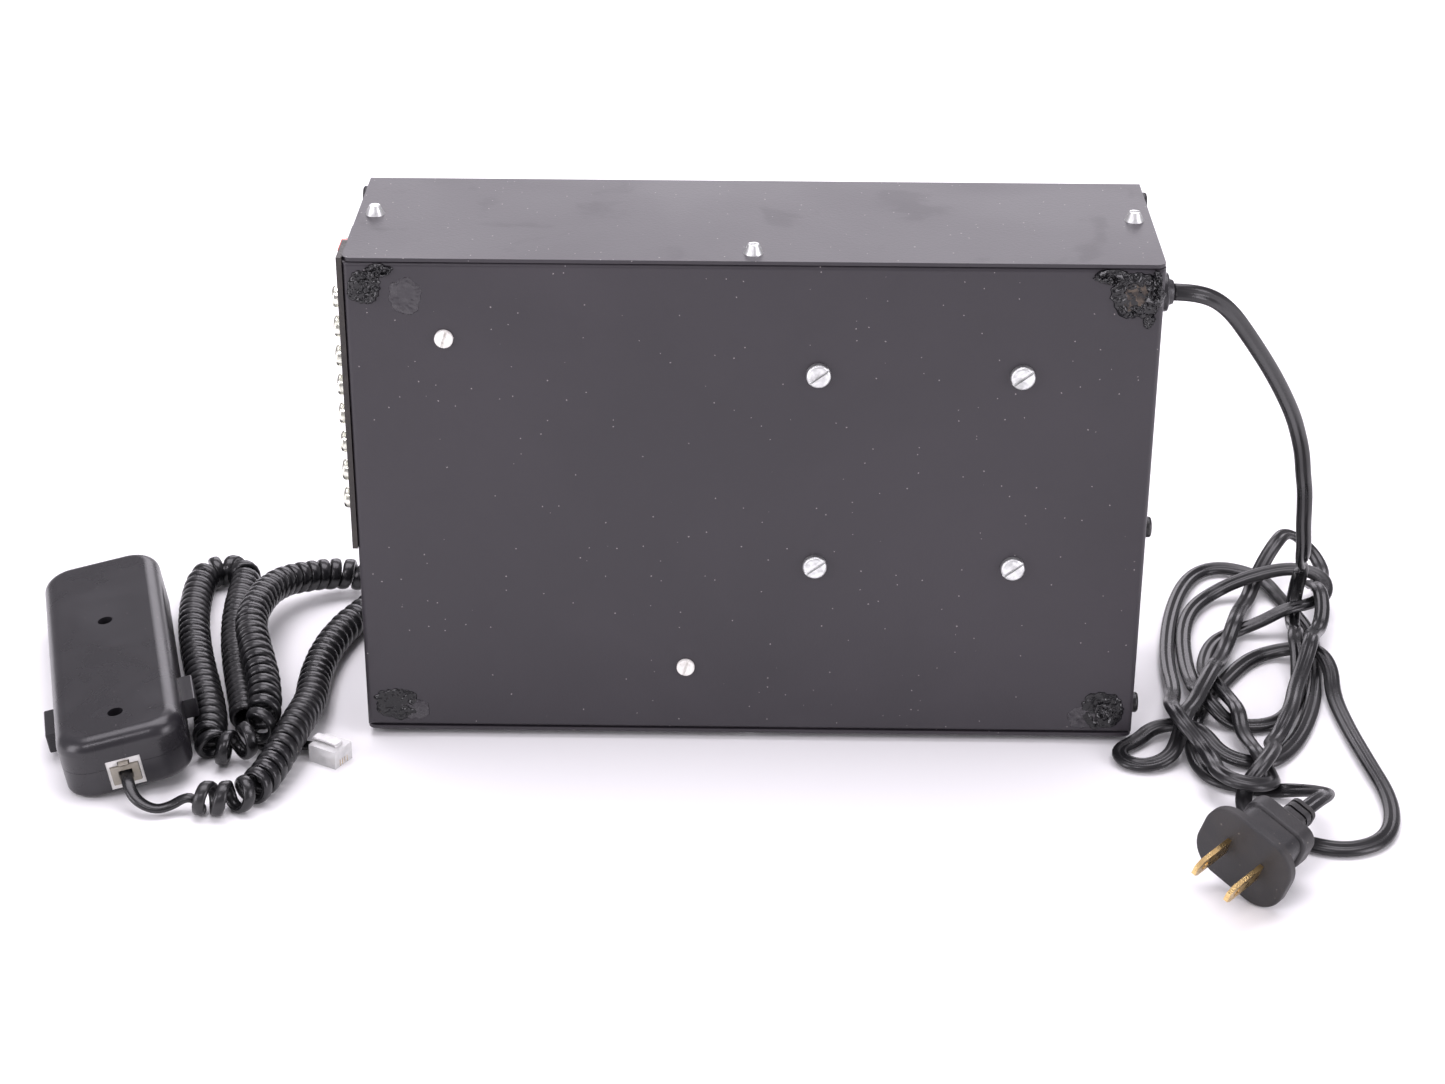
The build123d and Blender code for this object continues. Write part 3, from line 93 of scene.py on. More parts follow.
MAINS_ROUTE = [
    (0.1342, -0.027, 0.1603), (0.143, -0.027, 0.1603), (0.1535, -0.0195, 0.1525),
    (0.164, -0.01, 0.137), (0.175, 0.002, 0.119), (0.1845, 0.014, 0.1005), (0.189, 0.0215, 0.0885),
    (0.1915, 0.0245, 0.08), (0.193, 0.027, 0.0715), (0.195, 0.031, 0.0635), (0.196, 0.033, 0.0545),
    (0.197, 0.0365, 0.0465), (0.1985, 0.0395, 0.038), (0.1995, 0.044, 0.029),
    (0.201, 0.0505, 0.0225), (0.2, 0.0525, 0.0135), (0.1985, 0.048, 0.006), (0.1975, 0.039, 0.004),
    (0.197, 0.03, 0.0085), (0.1945, 0.0205, 0.011), (0.1945, 0.011, 0.008),
    (0.1935, 0.0025, 0.004), (0.1915, -0.0105, 0.0025), (0.184, -0.026, 0.0025),
    (0.1745, -0.031, 0.0025), (0.1645, -0.0285, 0.0025), (0.1585, -0.0225, 0.0075),
    (0.155, -0.013, 0.0075), (0.1555, -0.003, 0.0035), (0.155, 0.0125, 0.003),
    (0.157, 0.0365, 0.003), (0.1625, 0.055, 0.003), (0.172, 0.067, 0.0035), (0.183, 0.069, 0.0085),
    (0.197, 0.0725, 0.011), (0.2065, 0.0705, 0.012), (0.2125, 0.063, 0.012),
    (0.2115, 0.0535, 0.0095), (0.204, 0.046, 0.01), (0.195, 0.042, 0.0105),
    (0.186, 0.0405, 0.0055), (0.1765, 0.0385, 0.0025), (0.1665, 0.029, 0.003),
    (0.1605, 0.009, 0.003), (0.1615, -0.0075, 0.008), (0.1665, -0.018, 0.006),
    (0.1675, -0.0295, 0.0085), (0.1675, -0.038, 0.005), (0.1695, -0.0475, 0.005),
    (0.17, -0.057, 0.008), (0.173, -0.0665, 0.0045), (0.1725, -0.0755, 0.0075),
    (0.1665, -0.081, 0.0095), (0.1585, -0.08, 0.0105), (0.154, -0.073, 0.01),
    (0.1545, -0.0635, 0.0075), (0.152, -0.0535, 0.008), (0.1455, -0.047, 0.014),
    (0.143, -0.0375, 0.0145), (0.1445, -0.0275, 0.0105), (0.1475, -0.0135, 0.0045),
    (0.1485, -0.003, 0.0035), (0.1485, 0.007, 0.003), (0.1495, 0.0225, 0.003),
    (0.1535, 0.046, 0.003), (0.16, 0.069, 0.003), (0.1675, 0.0845, 0.0025),
    (0.1765, 0.0895, 0.003), (0.1865, 0.0875, 0.0025), (0.1935, 0.08, 0.0025),
    (0.197, 0.0645, 0.0025), (0.2035, 0.0425, 0.0025), (0.203, 0.0235, 0.0025),
    (0.2005, 0.0065, 0.0025), (0.1955, -0.017, 0.0025), (0.187, -0.0395, 0.0025),
    (0.1775, -0.053, 0.0025), (0.168, -0.0555, 0.0025), (0.1585, -0.0515, 0.004),
    (0.1535, -0.0435, 0.008), (0.1475, -0.035, 0.006), (0.138, -0.034, 0.004),
    (0.132, -0.041, 0.0025), (0.1245, -0.0475, 0.0025), (0.126, -0.055, 0.0025),
    (0.133, -0.058, 0.0025), (0.141, -0.055, 0.004), (0.145, -0.0465, 0.006),
    (0.1475, -0.0385, 0.012), (0.1525, -0.0295, 0.0115), (0.1565, -0.02, 0.013),
    (0.1625, -0.005, 0.013), (0.1665, 0.0095, 0.006), (0.1715, 0.0255, 0.004),
    (0.1755, 0.035, 0.009), (0.179, 0.0475, 0.0065), (0.1845, 0.0635, 0.0025),
    (0.188, 0.073, 0.004), (0.1925, 0.079, 0.011), (0.198, 0.0855, 0.0165),
    (0.2025, 0.0935, 0.016), (0.209, 0.097, 0.0115), (0.2145, 0.0935, 0.0065),
    (0.2165, 0.085, 0.0035), (0.2135, 0.076, 0.005), (0.209, 0.067, 0.0055),
    (0.206, 0.0595, 0.012), (0.208, 0.0495, 0.0155), (0.208, 0.04, 0.0115),
    (0.2055, 0.0315, 0.008), (0.2015, 0.0225, 0.0105), (0.199, 0.0125, 0.0145),
    (0.195, 0.001, 0.0105), (0.1895, -0.013, 0.008), (0.186, -0.0275, 0.0085),
    (0.18, -0.0395, 0.0045), (0.1755, -0.0485, 0.006), (0.1755, -0.058, 0.011),
    (0.1685, -0.0715, 0.011), (0.1625, -0.077, 0.0055), (0.1615, -0.086, 0.0025),
    (0.166, -0.0955, 0.0025), (0.1785, -0.105, 0.0025), (0.1905, -0.109, 0.0025),
    (0.202, -0.1045, 0.0025), (0.2085, -0.094, 0.0025), (0.211, -0.076, 0.0025),
    (0.2075, -0.0525, 0.003), (0.205, -0.0285, 0.0025), (0.204, -0.0075, 0.0025),
    (0.2055, 0.006, 0.006), (0.202, 0.0155, 0.008), (0.195, 0.022, 0.005),
    (0.1855, 0.0225, 0.0025), (0.1775, 0.0165, 0.0025), (0.1685, 0.003, 0.0025),
    (0.157, -0.017, 0.0025), (0.15, -0.04, 0.0025), (0.15, -0.0555, 0.0025),
    (0.1535, -0.0655, 0.0025), (0.163, -0.07, 0.0023), (0.172, -0.0725, 0.0023),
    (0.18, -0.0755, 0.0045), (0.1855, -0.0835, 0.009), (0.187, -0.093, 0.014),
    (0.1806, -0.1033, 0.0175), (0.1753, -0.1093, 0.0171),
]


def piece(name, vertices, faces, material):
    """A new mesh piece made from its points and faces."""
    mesh = bpy.data.meshes.new(name)
    mesh.from_pydata([tuple(v) for v in vertices], [], faces)
    mesh.validate()
    mesh.materials.append(material)
    mesh.polygons.foreach_set("use_smooth", [True] * len(mesh.polygons))
    thing = bpy.data.objects.new(name, mesh)
    bpy.context.scene.collection.objects.link(thing)
    return thing


def soft_line(name, route):
    """The smooth line a cord takes when the route's points steer it."""
    curve = bpy.data.curves.new(name, "CURVE")
    curve.dimensions = "3D"
    curve.resolution_u = LINE_STEPS
    spline = curve.splines.new("NURBS")
    spline.points.add(len(route) - 1)
    for point, place in zip(spline.points, route):
        point.co = (*place, 1.0)
    spline.order_u = 3
    spline.use_endpoint_u = True
    thing = bpy.data.objects.new(name, curve)
    bpy.context.scene.collection.objects.link(thing)
    bpy.context.view_layer.update()
    solved = thing.evaluated_get(bpy.context.evaluated_depsgraph_get())
    mesh = bpy.data.meshes.new_from_object(solved)
    line = [v.co.copy() for v in mesh.vertices]
    bpy.data.objects.remove(thing)
    bpy.data.curves.remove(curve)
    bpy.data.meshes.remove(mesh)
    return line


def evenly(line, step):
    """The same line with points a step apart."""
    spaced = [line[0]]
    left = step
    for a, b in zip(line, line[1:]):
        run = (b - a).length
        while run >= left:
            a = a + (b - a) * (left / run)
            run -= left
            spaced.append(a)
            left = step
        left -= run
    spaced.append(line[-1])
    return spaced


def directions(line):
    """The direction of travel at each point."""
    last = len(line) - 1
    return [(line[min(i + 1, last)] - line[max(i - 1, 0)]).normalized() for i in range(last + 1)]


def jacket(name, line, uppers, outline, material):
    """A skin of the given outline drawn along a line. Each upper says which way is up there."""
    vertices, faces = [], []
    around = len(outline)
    for place, heading, upper in zip(line, directions(line), uppers):
        side = heading.cross(upper).normalized()
        rise = side.cross(heading).normalized()
        vertices += [place + side * x + rise * y for x, y in outline]
    for i in range(len(line) - 1):
        this, following = i * around, (i + 1) * around
        for j in range(around):
            k = (j + 1) % around
            faces.append((this + j, this + k, following + k, following + j))
    last = (len(line) - 1) * around
    faces.append(tuple(range(around))[::-1])
    faces.append(tuple(range(last, last + around)))
    return piece(name, vertices, faces, material)


def add(tree, kind, sockets=None, **settings):
    """Adds a shader node. A socket takes a value or another node's output."""
    node = tree.nodes.new(kind)
    for key, value in settings.items():
        setattr(node, key, value)
    for key, value in (sockets or {}).items():
        if isinstance(value, bpy.types.NodeSocket):
            tree.links.new(value, node.inputs[key])
        else:
            node.inputs[key].default_value = value
    return node


def effect(name, inputs, outputs):
    """A shader node group with named number inputs. Gives the group, its inputs and its outputs."""
    group = bpy.data.node_groups.new(name, "ShaderNodeTree")
    for key, value in inputs.items():
        socket = group.interface.new_socket(key, in_out="INPUT", socket_type="NodeSocketFloat")
        socket.default_value = value
    for key in outputs:
        group.interface.new_socket(key, in_out="OUTPUT", socket_type="NodeSocketFloat")
    given = group.nodes.new("NodeGroupInput").outputs
    return group, given, group.nodes.new("NodeGroupOutput").inputs


def place_effect(tree, group, **values):
    """The output of the group's node in a material, with its own values."""
    node = tree.nodes.new("ShaderNodeGroup")
    node.node_tree = group
    for key, value in values.items():
        node.inputs[key].default_value = value
    return node.outputs[0]


def calculate(tree, kind, *values):
    """The result of a math node of the given kind."""
    node = tree.nodes.new("ShaderNodeMath")
    node.operation = kind
    for socket, value in zip(node.inputs, values):
        if isinstance(value, bpy.types.NodeSocket):
            tree.links.new(value, socket)
        else:
            socket.default_value = value
    return node.outputs[0]


def between(tree, factor, low, high):
    """A number that runs from low to high as factor runs from 0 to 1."""
    node = add(tree, "ShaderNodeMapRange", {"Value": factor, "To Min": low, "To Max": high})
    return node.outputs[0]


def tint(tree, factor, first, second):
    """A colour between two."""
    node = tree.nodes.new("ShaderNodeMix")
    node.data_type = "RGBA"
    for key, value in (("Factor_Float", factor), ("A_Color", first), ("B_Color", second)):
        socket = next(s for s in node.inputs if s.identifier == key)
        if isinstance(value, bpy.types.NodeSocket):
            tree.links.new(value, socket)
        else:
            socket.default_value = value if key == "Factor_Float" else (*value, 1.0)
    return next(s for s in node.outputs if s.identifier == "Result_Color")


def finish_named(name, metallic=0.0, coat=0.0, ior=1.5, clear=0.0):
    """A new material. Gives the material, its node tree and its principled shader."""
    material = bpy.data.materials.new(name)
    material.use_nodes = True
    tree = material.node_tree
    shader = tree.nodes["Principled BSDF"]
    shader.inputs["Metallic"].default_value = metallic
    shader.inputs["IOR"].default_value = ior
    shader.inputs["Transmission Weight"].default_value = clear
    shader.inputs["Coat Weight"].default_value = coat
    return material, tree, shader


def relief(tree, shader, height, depth):
    """Raises the surface by height times depth, in metres."""
    bump = add(tree, "ShaderNodeBump", {"Height": height, "Distance": depth, "Strength": 1.0})
    tree.links.new(bump.outputs[0], shader.inputs["Normal"])


def make_grain():
    """Fine even grain, as on moulded plastic or sprayed enamel."""
    group, given, result = effect("Grain", {"Size": 0.001, "Detail": 3.0}, ["Height"])
    where = group.nodes.new("ShaderNodeTexCoord").outputs["Object"]
    scale = calculate(group, "DIVIDE", 1.0, given["Size"])
    cells = add(group, "ShaderNodeTexNoise",
                {"Vector": where, "Scale": scale, "Detail": given["Detail"]})
    group.links.new(cells.outputs[0], result["Height"])
    return group


SMUDGE_FULL = 0.68           # the noise above which a smudge is whole
SMUDGE_START = 0.75          # less the sharpness, the noise at which it starts


def make_smudge():
    """Soft uneven patches, where hands and cloths have been."""
    group, given, result = effect("Smudge", {"Size": 0.05, "Sharpness": 0.3}, ["Mask"])
    where = group.nodes.new("ShaderNodeTexCoord").outputs["Object"]
    scale = calculate(group, "DIVIDE", 1.0, given["Size"])
    cloud = add(group, "ShaderNodeTexNoise",
                {"Vector": where, "Scale": scale, "Detail": 5.0, "Distortion": 0.6})
    low = calculate(group, "SUBTRACT", SMUDGE_START, given["Sharpness"])
    node = add(group, "ShaderNodeMapRange",
               {"Value": cloud.outputs[0], "From Min": low, "From Max": SMUDGE_FULL})
    group.links.new(node.outputs[0], result["Mask"])
    return group


LINT_BENDS = 900.0           # how fine the wander of the specks' outlines is, and how far it goes
LINT_WANDER = 0.0006


def make_dust():
    """Scattered specks of dust and lint, few and small."""
    group, given, result = effect("Dust", {"Spacing": 0.008, "Speck": 0.05, "Share": 0.4}, ["Mask"])
    where = group.nodes.new("ShaderNodeTexCoord").outputs["Object"]
    scale = calculate(group, "DIVIDE", 1.0, given["Spacing"])
    wander = add(group, "ShaderNodeTexNoise", {"Vector": where, "Scale": LINT_BENDS})
    bent = add(group, "ShaderNodeMix", data_type="VECTOR")
    sockets = {s.identifier: s for s in bent.inputs}
    sockets["Factor_Float"].default_value = LINT_WANDER
    group.links.new(where, sockets["A_Vector"])
    group.links.new(wander.outputs["Color"], sockets["B_Vector"])
    moved = next(s for s in bent.outputs if s.identifier == "Result_Vector")
    dots = add(group, "ShaderNodeTexVoronoi", {"Vector": moved, "Scale": scale})
    near = calculate(group, "LESS_THAN", dots.outputs["Distance"], given["Speck"])
    kept = add(group, "ShaderNodeSeparateColor", {"Color": dots.outputs["Color"]})
    some = calculate(group, "LESS_THAN", kept.outputs[0], given["Share"])
    group.links.new(calculate(group, "MULTIPLY", near, some), result["Mask"])
    return group


grain = make_grain()
smudge = make_smudge()
dust = make_dust()


def worn_finish(name, fresh, worn, rough, patch, fine=0.001, depth=0.0, sharpness=0.3, detail=3.0,
                specks=None, **nature):
    """A surface that runs from one colour to another in patches, as does its roughness.

    The grain is fine metres across and depth metres high. Specks are a dust colour with the
    specks' spacing, size and share, and nature is the rest that finish_named takes."""
    material, tree, shader = finish_named(name, **nature)
    patches = place_effect(tree, smudge, Size=patch, Sharpness=sharpness)
    colour = tint(tree, patches, fresh, worn)
    if specks:
        speck_colour, spacing, size, share = specks
        dusty = place_effect(tree, dust, Spacing=spacing, Speck=size, Share=share)
        colour = tint(tree, dusty, colour, speck_colour)
    tree.links.new(colour, shader.inputs["Base Color"])
    if isinstance(rough, tuple):
        tree.links.new(between(tree, patches, *rough), shader.inputs["Roughness"])
    else:
        shader.inputs["Roughness"].default_value = rough
    if depth:
        relief(tree, shader, place_effect(tree, grain, Size=fine, Detail=detail), depth)
    return material


def flex_outline():
    """Two round lobes joined by a web."""
    outline = []
    for k in range(FLEX_POINTS):
        turn = 2 * math.pi * (k + 0.5) / FLEX_POINTS
        x, y = math.cos(turn), math.sin(turn)
        full = math.copysign(abs(y) ** FLEX_LOBE, y)
        pinch = 1 - FLEX_WAIST * math.exp(-(x / FLEX_GROOVE) ** 2)
        outline.append((x * FLEX_WIDTH / 2, full * pinch * FLEX_THICK / 2))
    return outline


def flex_uppers(line):
    """Flat side up on the floor and to the front where it hangs, rocking a little."""
    uppers = []
    for i, (place, heading) in enumerate(zip(line, directions(line))):
        hanging = min(max((place.z - FLEX_LOW) / FLEX_CLIMB, 0.0), 1.0)
        lean = FLEX_LEAN_FLOOR + (FLEX_LEAN_HANGING - FLEX_LEAN_FLOOR) * hanging
        base = Vector((0, -lean, 1)).normalized()
        across = heading.cross(base).normalized()
        base = across.cross(heading).normalized()
        rock = FLEX_TWIST * math.sin(i * FLEX_STEP / FLEX_TWIST_EVERY)
        uppers.append(base * math.cos(rock) + across * math.sin(rock))
    return uppers


# Glossy black, a little dull where it is handled.
vinyl = worn_finish("black_vinyl", (0.008, 0.008, 0.009), (0.015, 0.0145, 0.0155),
                    rough=(0.25, 0.34), patch=0.03, fine=0.0006, depth=0.00003,
                    specks=((0.16, 0.15, 0.14), 0.008, 0.03, 0.3))
mains_line = evenly(soft_line("mains_route", MAINS_ROUTE), FLEX_STEP)
mains_cord = jacket("mains_flex", mains_line, flex_uppers(mains_line), flex_outline(), vinyl)
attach(mains_cord, "enclosure")
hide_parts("mains_cord")

# ---------------------------------------------------------------- the remote's coiled cord
# Flat four-wire cord in black vinyl, wound tight on a mandrel and heat-set so that it springs
# back. It leaves the handset's plug straight, is coiled for most of its length, and its free
# end has a second modular plug.
WIRE_WIDTH = 0.0042
WIRE_THICK = 0.0025
COIL_OUTSIDE = 0.0117
COIL_MEAN = (COIL_OUTSIDE - WIRE_THICK) / 2
TURN_PITCH = 0.0042          # wire to wire where the coil is relaxed
TURN_STEPS = 18              # points to one turn
COIL_STEP = 0.0006           # along the coil's middle line
STRAIGHT_STEP = 0.0012       # along the lead and the tail
LEAST_INSIDE = 0.45          # of the mean radius: the tightest inside of a bend
MOST_SPREAD = 1.55           # the most that a bend spreads its turns
BEND_REACH = 7               # steps each side when a bend is measured
BEND_BLUR = 4                # and when it is evened out
# Where along the coil the turns are slack, by how much and over what share of its length.
COIL_SLACK = [(0.52, 0.22, 0.08), (0.0, 0.12, 0.12)]
NO_AREA = 1e-12              # below this three points count as one straight line
STRAIGHT = 10.0              # and this is the radius it is given
PITCH_RIPPLE = (0.05, 0.11)  # how much the pitch wavers, and how fast with each step
TURN_RIPPLE = (0.02, 0.37)   # how much the turns' radius wavers, and how fast with each radian
LEAD_TRIM = 4                # points taken off the lead and the tail where they meet the coil
TAIL_TRIM = 5
BRIDGE_POINTS = 5            # between a straight part and the coil
BRIDGE_PULL = 0.4
WIRE_POINTS = 12             # round the wire
WIRE_SQUARE = 0.8            # how square its outline is; 1 is a plain oval
LEAD_ROUTE = [
    (-0.2046, -0.0787, 0.0094), (-0.2029, -0.0851, 0.0094), (-0.1998, -0.091, 0.0056),
    (-0.193, -0.093, 0.0027), (-0.1875, -0.091, 0.0034), (-0.183, -0.0892, 0.0059),
    (-0.1786, -0.09, 0.0059),
]
COIL_ROUTE = [
    (-0.1786, -0.09, 0.0059), (-0.1715, -0.0913, 0.0059), (-0.1635, -0.0875, 0.0059),
    (-0.1585, -0.077, 0.0068), (-0.155, -0.062, 0.009), (-0.1524, -0.046, 0.01),
    (-0.1508, -0.028, 0.0072), (-0.1524, -0.01, 0.0059), (-0.1513, 0.01, 0.0059),
    (-0.147, 0.028, 0.0059), (-0.1395, 0.043, 0.0059), (-0.135, 0.052, 0.0062),
    (-0.1362, 0.061, 0.0065), (-0.144, 0.067, 0.0074), (-0.154, 0.0655, 0.0088),
    (-0.1645, 0.0595, 0.0106), (-0.1725, 0.049, 0.0136), (-0.1765, 0.032, 0.0167),
    (-0.1776, 0.01, 0.0182), (-0.1725, -0.009, 0.0178), (-0.167, -0.027, 0.0166),
    (-0.1638, -0.042, 0.0144), (-0.1638, -0.0533, 0.0112), (-0.1695, -0.0598, 0.008),
    (-0.177, -0.06, 0.0064), (-0.182, -0.0545, 0.0059), (-0.1824, -0.0445, 0.0059),
    (-0.1861, -0.029, 0.0059), (-0.1912, -0.012, 0.0059), (-0.1976, 0.01, 0.0059),
    (-0.2028, 0.034, 0.0059), (-0.2048, 0.055, 0.0059), (-0.2046, 0.067, 0.0059),
    (-0.2, 0.0727, 0.0059), (-0.1934, 0.073, 0.0059), (-0.1886, 0.0678, 0.0059),
    (-0.188, 0.057, 0.0059), (-0.187, 0.036, 0.0059), (-0.1834, 0.012, 0.0059),
    (-0.1776, -0.013, 0.0059), (-0.1733, -0.0295, 0.0059), (-0.1714, -0.0395, 0.0059),
]
TAIL_ROUTE = [
    (-0.1714, -0.0395, 0.0059), (-0.1706, -0.0437, 0.0059), (-0.1684, -0.0488, 0.0034),
    (-0.1625, -0.0512, 0.0018), (-0.155, -0.0494, 0.0018), (-0.1482, -0.0508, 0.0032),
    (-0.143, -0.0537, 0.0032),
]


def local_bend(line, i):
    """Radius of the line's bend at a point, from the points on either side."""
    a, b, c = line[max(i - BEND_REACH, 0)], line[i], line[min(i + BEND_REACH, len(line) - 1)]
    twice_area = (b - a).cross(c - b).length
    if twice_area < NO_AREA:
        return STRAIGHT
    return (b - a).length * (c - b).length * (c - a).length / (2 * twice_area)


def turn_pitch(line, i, bends):
    """Turns pack on the inside of a bend, so their middles spread there."""
    bend = bends[i]
    inside = max(bend - COIL_MEAN, LEAST_INSIDE * COIL_MEAN)
    spread = min(bend / inside, MOST_SPREAD)
    along = i / len(line)
    slack = 1
    for where, more, reach in COIL_SLACK:
        slack += more * math.exp(-((along - where) / reach) ** 2)
    size, speed = PITCH_RIPPLE
    return TURN_PITCH * spread * slack * (1 + size * math.sin(i * speed))


def coil_turns(line):
    """Points round the coil's line, and the way outwards at each."""
    bends = [local_bend(line, i) for i in range(len(line))]
    near = [bends[max(i - BEND_BLUR, 0):i + BEND_BLUR + 1] for i in range(len(line))]
    smooth = [sum(radii) / len(radii) for radii in near]
    size, speed = TURN_RIPPLE
    heading = directions(line)
    rise = Vector((0, 0, 1))
    rise = (rise - heading[0] * rise.dot(heading[0])).normalized()
    places, outwards = [], []
    turned, next_turn = -math.pi / 2, -math.pi / 2
    total = len(line) - 1
    for i in range(total):
        rise = (rise - heading[i] * rise.dot(heading[i])).normalized()
        side = heading[i].cross(rise)
        grow = 2 * math.pi * COIL_STEP / turn_pitch(line, i, smooth)
        while next_turn < turned + grow:
            share = (next_turn - turned) / grow
            place = line[i].lerp(line[i + 1], share)
            out = (rise * math.sin(next_turn) + side * math.cos(next_turn)).normalized()
            radius = COIL_MEAN * (1 + size * math.sin(next_turn * speed))
            places.append(place + out * min(radius, COIL_MEAN))
            outwards.append(out)
            next_turn += 2 * math.pi / TURN_STEPS
        turned += grow
    return places, outwards


def bridge(first, second):
    """Points that carry one line smoothly over to the next."""
    a, b = first[-1], second[0]
    reach = (b - a).length
    out = a + (first[-1] - first[-2]).normalized() * reach * BRIDGE_PULL
    back = b - (second[1] - second[0]).normalized() * reach * BRIDGE_PULL
    points = []
    for k in range(1, BRIDGE_POINTS + 1):
        t = k / (BRIDGE_POINTS + 1)
        s = 1 - t
        points.append(a * s ** 3 + out * 3 * s * s * t + back * 3 * s * t * t + b * t ** 3)
    return points


def swing(first, second):
    """The ways up along a bridge, from one to the other."""
    return [first.lerp(second, (k + 1) / (BRIDGE_POINTS + 1)) for k in range(BRIDGE_POINTS)]


def remote_path():
    """Lead, coil and tail as one line of points, with the way up at each."""
    lead = evenly(soft_line("lead_route", LEAD_ROUTE), STRAIGHT_STEP)[:-LEAD_TRIM]
    coil_line = evenly(soft_line("coil_route", COIL_ROUTE), COIL_STEP)
    tail = evenly(soft_line("tail_route", TAIL_ROUTE), STRAIGHT_STEP)[TAIL_TRIM:]
    turns, outwards = coil_turns(coil_line)
    up = Vector((0, 0, 1))
    line = lead + bridge(lead, turns) + turns + bridge(turns, tail) + tail
    uppers = [up] * len(lead) + swing(up, outwards[0]) + outwards
    uppers += swing(outwards[-1], up) + [up] * len(tail)
    return line, uppers


def wire_outline():
    """A flattened oval."""
    outline = []
    for k in range(WIRE_POINTS):
        turn = 2 * math.pi * k / WIRE_POINTS
        x, y = math.cos(turn), math.sin(turn)
        outline.append((math.copysign(abs(x) ** WIRE_SQUARE, x) * WIRE_WIDTH / 2,
                        math.copysign(abs(y) ** WIRE_SQUARE, y) * WIRE_THICK / 2))
    return outline


remote_line, remote_uppers = remote_path()
remote_cord = jacket("remote_cord", remote_line, remote_uppers, wire_outline(), vinyl)
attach(remote_cord, "enclosure")
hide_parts("remote_lead", "remote_coil", "remote_tail")

# ---------------------------------------------------------------- the mains plug
# One soft vinyl moulding over two flat brass blades. The moulding has a fine matt skin from
# its mould, and the blades are stamped, rubbed and a little tarnished.
def wear_metal(name, bright, dark, rough, patch=0.004):
    """Plated or plain metal, with duller, darker patches and fine rubbing."""
    return worn_finish(name, bright, dark, rough, patch, fine=0.0004, depth=0.00006, detail=4.0,
                       metallic=1.0)


def clothe(material, *names):
    """Gives CAD pieces their finish."""
    for name in names:
        slots = cad[name].data.materials
        slots.clear()
        slots.append(material)


brass = wear_metal("blade_brass", (0.74, 0.53, 0.24), (0.42, 0.29, 0.13), rough=(0.22, 0.48))
clothe(worn_finish("moulded_vinyl", (0.016, 0.0155, 0.017), (0.032, 0.030, 0.030),
                   rough=(0.42, 0.58), patch=0.012, sharpness=0.35, fine=0.0005, detail=4.0, depth=0.0001, ior=1.48,
                   specks=((0.11, 0.10, 0.09), 0.0028, 0.11, 0.4)), "mains_plug")
clothe(brass, "mains_blades")

# ---------------------------------------------------------------- the base pan and the cover
# The box is two folded pieces of steel sheet. The base pan is the underside plate with the
# two end walls, and the cover wraps over the top, the back and the bottom. Both are sprayed
# in satin black enamel with a fine orange peel, now hazy, dusty and smeared.
def satin_enamel():
    """Satin black enamel over steel, hazy in broad patches, with specks and smears."""
    material, tree, shader = finish_named("satin_enamel", ior=1.5)
    hazy = place_effect(tree, smudge, Size=0.09, Sharpness=0.35)
    greasy = place_effect(tree, smudge, Size=0.02, Sharpness=0.15)
    dusty = place_effect(tree, dust, Spacing=0.003, Speck=0.075, Share=0.4)
    lint = place_effect(tree, dust, Spacing=0.023, Speck=0.012, Share=0.5)
    paint = tint(tree, hazy, (0.026, 0.023, 0.028), (0.034, 0.030, 0.036))
    specked = tint(tree, calculate(tree, "MAXIMUM", dusty, lint), paint, (0.24, 0.22, 0.22))
    tree.links.new(specked, shader.inputs["Base Color"])
    dull = calculate(tree, "ADD", between(tree, hazy, 0.40, 0.47), between(tree, greasy, 0.0, 0.04))
    tree.links.new(dull, shader.inputs["Roughness"])
    relief(tree, shader, place_effect(tree, grain, Size=0.0009, Detail=2.0), 0.00005)
    return material


clothe(satin_enamel(), "base_pan", "cover")

# ---------------------------------------------------------------- the old feet's adhesive
# Four rubber feet were stuck near the corners of the underside plate. They have come away and
# left black contact adhesive, torn into ridges, and at one corner a disc of brown foam.
PLATE_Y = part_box("base_pan")[0].y


CRUST_RINGS = 22
CRUST_SPOKES = 96
# How far the outline wanders, how often round it, and a shift that sets it apart.
CRUST_LOBES = [(0.20, 1.7, 0), (0.12, 5, 9)]
# How high the folds are, how many to a metre, and a shift as above.
CRUST_FOLDS = [(1.7, 330, 0), (0.9, 780, 3)]
CRUST_BASE = 0.2             # of its height, before the folds
CRUST_EDGE = 10              # how steeply the rim falls; more is steeper
CRUST_HOLLOW = 0.55          # how wide the hollow middle is, of the radius
CRUST_SKIN = 0.00003         # the least that a patch stands off the plate


